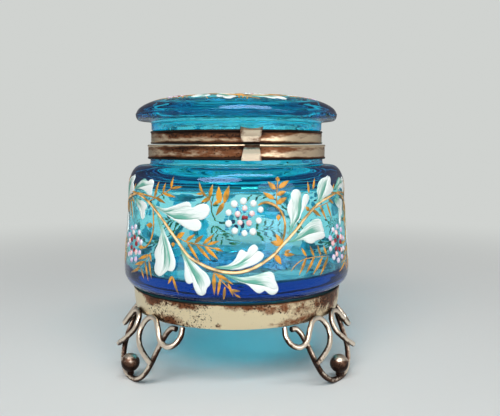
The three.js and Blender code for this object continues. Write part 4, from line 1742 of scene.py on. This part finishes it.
leafEnamel = enamelMaterial("whiteLeafEnamel", leafColour)
ochreEnamel = enamelMaterial("ochreEnamel", ochreColour)
beadEnamel = enamelMaterial("beadEnamel", beadColour)
drawStroke = strokeTree()
scatterDabs = scatterTree()
oneLeaflet = leafletDab()
oneBead = beadDab()


class Painting:
    # swags of leaves, vines, sprigs and beads, laid out flat
    def __init__(self, places, scale=1.0):
        self.relief, self.routes, self.sprigs, self.beads = Relief(), [], [], []
        for place in places:
            for leaf in leaves:
                if place is onFront or "frontOnly" not in leaf:
                    addLeaf(self.relief, leaf, place)
            for fullness, pixels in vineRoutes + sprigStems:
                self.routes.append((fullness, [place(wall.cast(pixel)) for pixel in pixels]))
            self.sprigs += leafletSpots(place, scale)
            self.beads += beadSpots(place, scale)

    def fire(self, prefix, skin, body, vineScale=1.0):
        leafMesh = fired(self.relief.mesh(f"{prefix}_leaves"), skin)
        addPiece(leafMesh, body, "white_enamel", leafEnamel)
        vineMesh = grown(strokesMesh(f"{prefix}_vines", self.routes), drawStroke, {
            "Half Width": vineScale * vine["width"] / 2 * mm,
            "Thickness": vineScale * vine["thick"] * mm,
            "Step Length": vineScale * vine["step"] * mm,
            "Sides": vine["sides"],
            "Material": ochreEnamel,
        })
        addPiece(fired(vineMesh, skin), body, "ochre_enamel", ochreEnamel)
        dabs = [
            ("sprigs", self.sprigs, oneLeaflet, "ochre_enamel", ochreEnamel),
            ("beads", self.beads, oneBead, "white_enamel", beadEnamel),
        ]
        for name, spots, dab, slot, material in dabs:
            dabMesh = grown(spotsMesh(f"{prefix}_{name}", spots), scatterDabs, {
                "Dab": dab, "Seed": enamel["seed"], "Material": material,
            })
            addPiece(fired(dabMesh, skin), body, slot, material)


def paintWall():
    Painting([onFront, onBack(0), onBack(1)]).fire("enamel", wall, "jar")


def paintLid():
    painting = Painting([onLid(0), onLid(1), onLid(2)], lidSwag["scale"])
    length = lidSwag["leafletTo"] - lidSwag["leafletFrom"]
    for k in range(lidSwag["flowerLeaflets"]):
        turn = 2 * math.pi * k / lidSwag["flowerLeaflets"]
        start = lidSwag["leafletFrom"] * np.array([math.cos(turn), math.sin(turn)])
        size = (length, lidSwag["leafletWidth"], enamel["relief"])
        painting.sprigs.append((start, turn, size, enamelDice.uniform()))
    painting.beads += ringSpots((0, 0), lidSwag["flowerRings"])
    painting.fire("lid_enamel", lidTop, "lid", lidSwag["vineScale"])


paintWall()
print("wall enamel made")
paintLid()
print("lid enamel made")
bpy.data.objects.remove(oneLeaflet)
bpy.data.objects.remove(oneBead)


# The clasp, the hinge and the plaster keep the frame's shapes and only get their materials. The
# plaster is dry and pale in the collars; in the base ring it is near black, painted shade under the bowl.

plaster = {
    "dry": [(0.78, 0.74, 0.66), (0.62, 0.57, 0.49)],
    "paintedShade": [(0.09, 0.07, 0.055), (0.035, 0.028, 0.024)],
    "grain": 1800.0,
    "grainDetail": 4.0,
    "grainStrength": 0.5,
    "grainDepth": 0.1,
    "roughness": 0.9,
}


def plasterMaterial(name, tones):
    material, tree = newMaterial(name)
    grain = noise(tree, objectPlace(tree), plaster["grain"], plaster["grainDetail"])
    shader = addNode(tree, "ShaderNodeBsdfPrincipled", {
        "Base Color": blend(tree, grain, *tones),
        "Roughness": plaster["roughness"],
        "Normal": bumped(tree, grain, plaster["grainStrength"], plaster["grainDepth"]),
    })
    addNode(tree, "ShaderNodeOutputMaterial", {"Surface": shader.outputs[0]})
    return material


def paint(names, material):
    for name in names:
        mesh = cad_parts[name].data
        mesh.materials.clear()
        mesh.materials.append(material)


paint(["neck_plaster_bed", "lid_plaster_bed"], plasterMaterial("dryPlaster", plaster["dry"]))
paint(["base_plaster_bed"], plasterMaterial("grimedPlaster", plaster["paintedShade"]))
paint(["catch_tab", "thumb_tab"], tabMetal)
paint(["neck_hinge_leaf", "lid_hinge_leaf", "hinge_pin"], collarMetal)


# Studio: a pale floor under a pale, even sky. Its lengths are in metres.

studio = {
    "backdrop": (0.63, 0.65, 0.63),
    "floor": (0.66, 0.68, 0.67),
    "floorRoughness": 0.85,
    "floorGloss": 0.2,
    "floorRadius": 6.0,
    "fade": (0.14, 0.5),  # how far from the jar the floor becomes the backdrop
    "behindGlass": 1.22,
    "skyStrength": 0.16,
    "sideStrength": 0.55,  # the pale room to the left and right, in reflections only
    "sideFrom": 0.6,
    "lamps": {
        "key": {"place": (-0.5, -0.9, 0.85), "size": (1.0, 0.5), "watts": 11.2},
        "fill": {"place": (0.75, -1.2, 0.35), "size": (1.0, 0.8), "watts": 6.0},
        "top": {"place": (0.05, -0.62, 1.05), "size": (1.0, 0.28), "watts": 6.5},
    },
}


def seenAsBackdrop(tree, rays):
    return maths(tree, "MAXIMUM", rays.outputs["Is Camera Ray"], rays.outputs["Is Transmission Ray"])


def backdropNode(tree, rays, kind):
    # the backdrop is a little brighter through the glass
    strength = ranged(tree, rays.outputs["Is Transmission Ray"], (0, 1), (1.0, studio["behindGlass"]))
    return addNode(tree, kind, {"Color": (*studio["backdrop"], 1), "Strength": strength})


def makeFloor():
    material, tree = newMaterial("paleFloor")
    away = addNode(tree, "ShaderNodeVectorMath", {0: objectPlace(tree)}, operation="LENGTH").outputs["Value"]
    rays = addNode(tree, "ShaderNodeLightPath")
    faded = ranged(tree, away, studio["fade"], smooth=True)
    near = addNode(tree, "ShaderNodeBsdfPrincipled", {
        "Base Color": (*studio["floor"], 1),
        "Roughness": studio["floorRoughness"],
        "Specular IOR Level": studio["floorGloss"],
    })
    far = backdropNode(tree, rays, "ShaderNodeEmission")
    factor = maths(tree, "MULTIPLY", seenAsBackdrop(tree, rays), faded)
    addNode(tree, "ShaderNodeOutputMaterial", {"Surface": mixedShaders(tree, factor, near, far)})
    mesh = bpy.data.meshes.new("floor")
    reach, down = studio["floorRadius"], foot["table"] * mm
    corners = [(-reach, -reach, down), (reach, -reach, down), (reach, reach, down), (-reach, reach, down)]
    mesh.from_pydata(corners, [], [(0, 1, 2, 3)])
    mesh.materials.append(material)
    floor = linked("floor", mesh)


def makeSky():
    world = bpy.data.worlds.new("paleSky")
    world.use_nodes = True
    tree = world.node_tree
    tree.nodes.clear()
    rays = addNode(tree, "ShaderNodeLightPath")
    facing = addNode(tree, "ShaderNodeTexCoord").outputs["Generated"]
    sideways = maths(tree, "ABSOLUTE", axisOf(tree, facing, "X"))
    mirrored = maths(tree, "MULTIPLY", sideways, rays.outputs["Is Glossy Ray"])
    strength = ranged(
        tree, mirrored, (studio["sideFrom"], 1), (studio["skyStrength"], studio["sideStrength"]),
    )
    light = addNode(tree, "ShaderNodeBackground", {"Color": (1, 1, 1, 1), "Strength": strength})
    shown = backdropNode(tree, rays, "ShaderNodeBackground")
    addNode(tree, "ShaderNodeOutputWorld", {
        "Surface": mixedShaders(tree, seenAsBackdrop(tree, rays), light, shown),
    })
    bpy.context.scene.world = world


def makeLamps():
    for name, lamp in studio["lamps"].items():
        data = bpy.data.lights.new(f"{name}Lamp", "AREA")
        data.shape = "ELLIPSE"
        data.size, data.size_y = lamp["size"]
        data.energy = lamp["watts"]
        stand = linked(f"{name}Lamp", data)
        stand.location = lamp["place"]
        stand.rotation_euler = (-Vector(lamp["place"])).to_track_quat("-Z", "Y").to_euler()


makeFloor()
makeSky()
makeLamps()
bpy.context.scene.view_settings.view_transform = "Standard"
print("studio made")
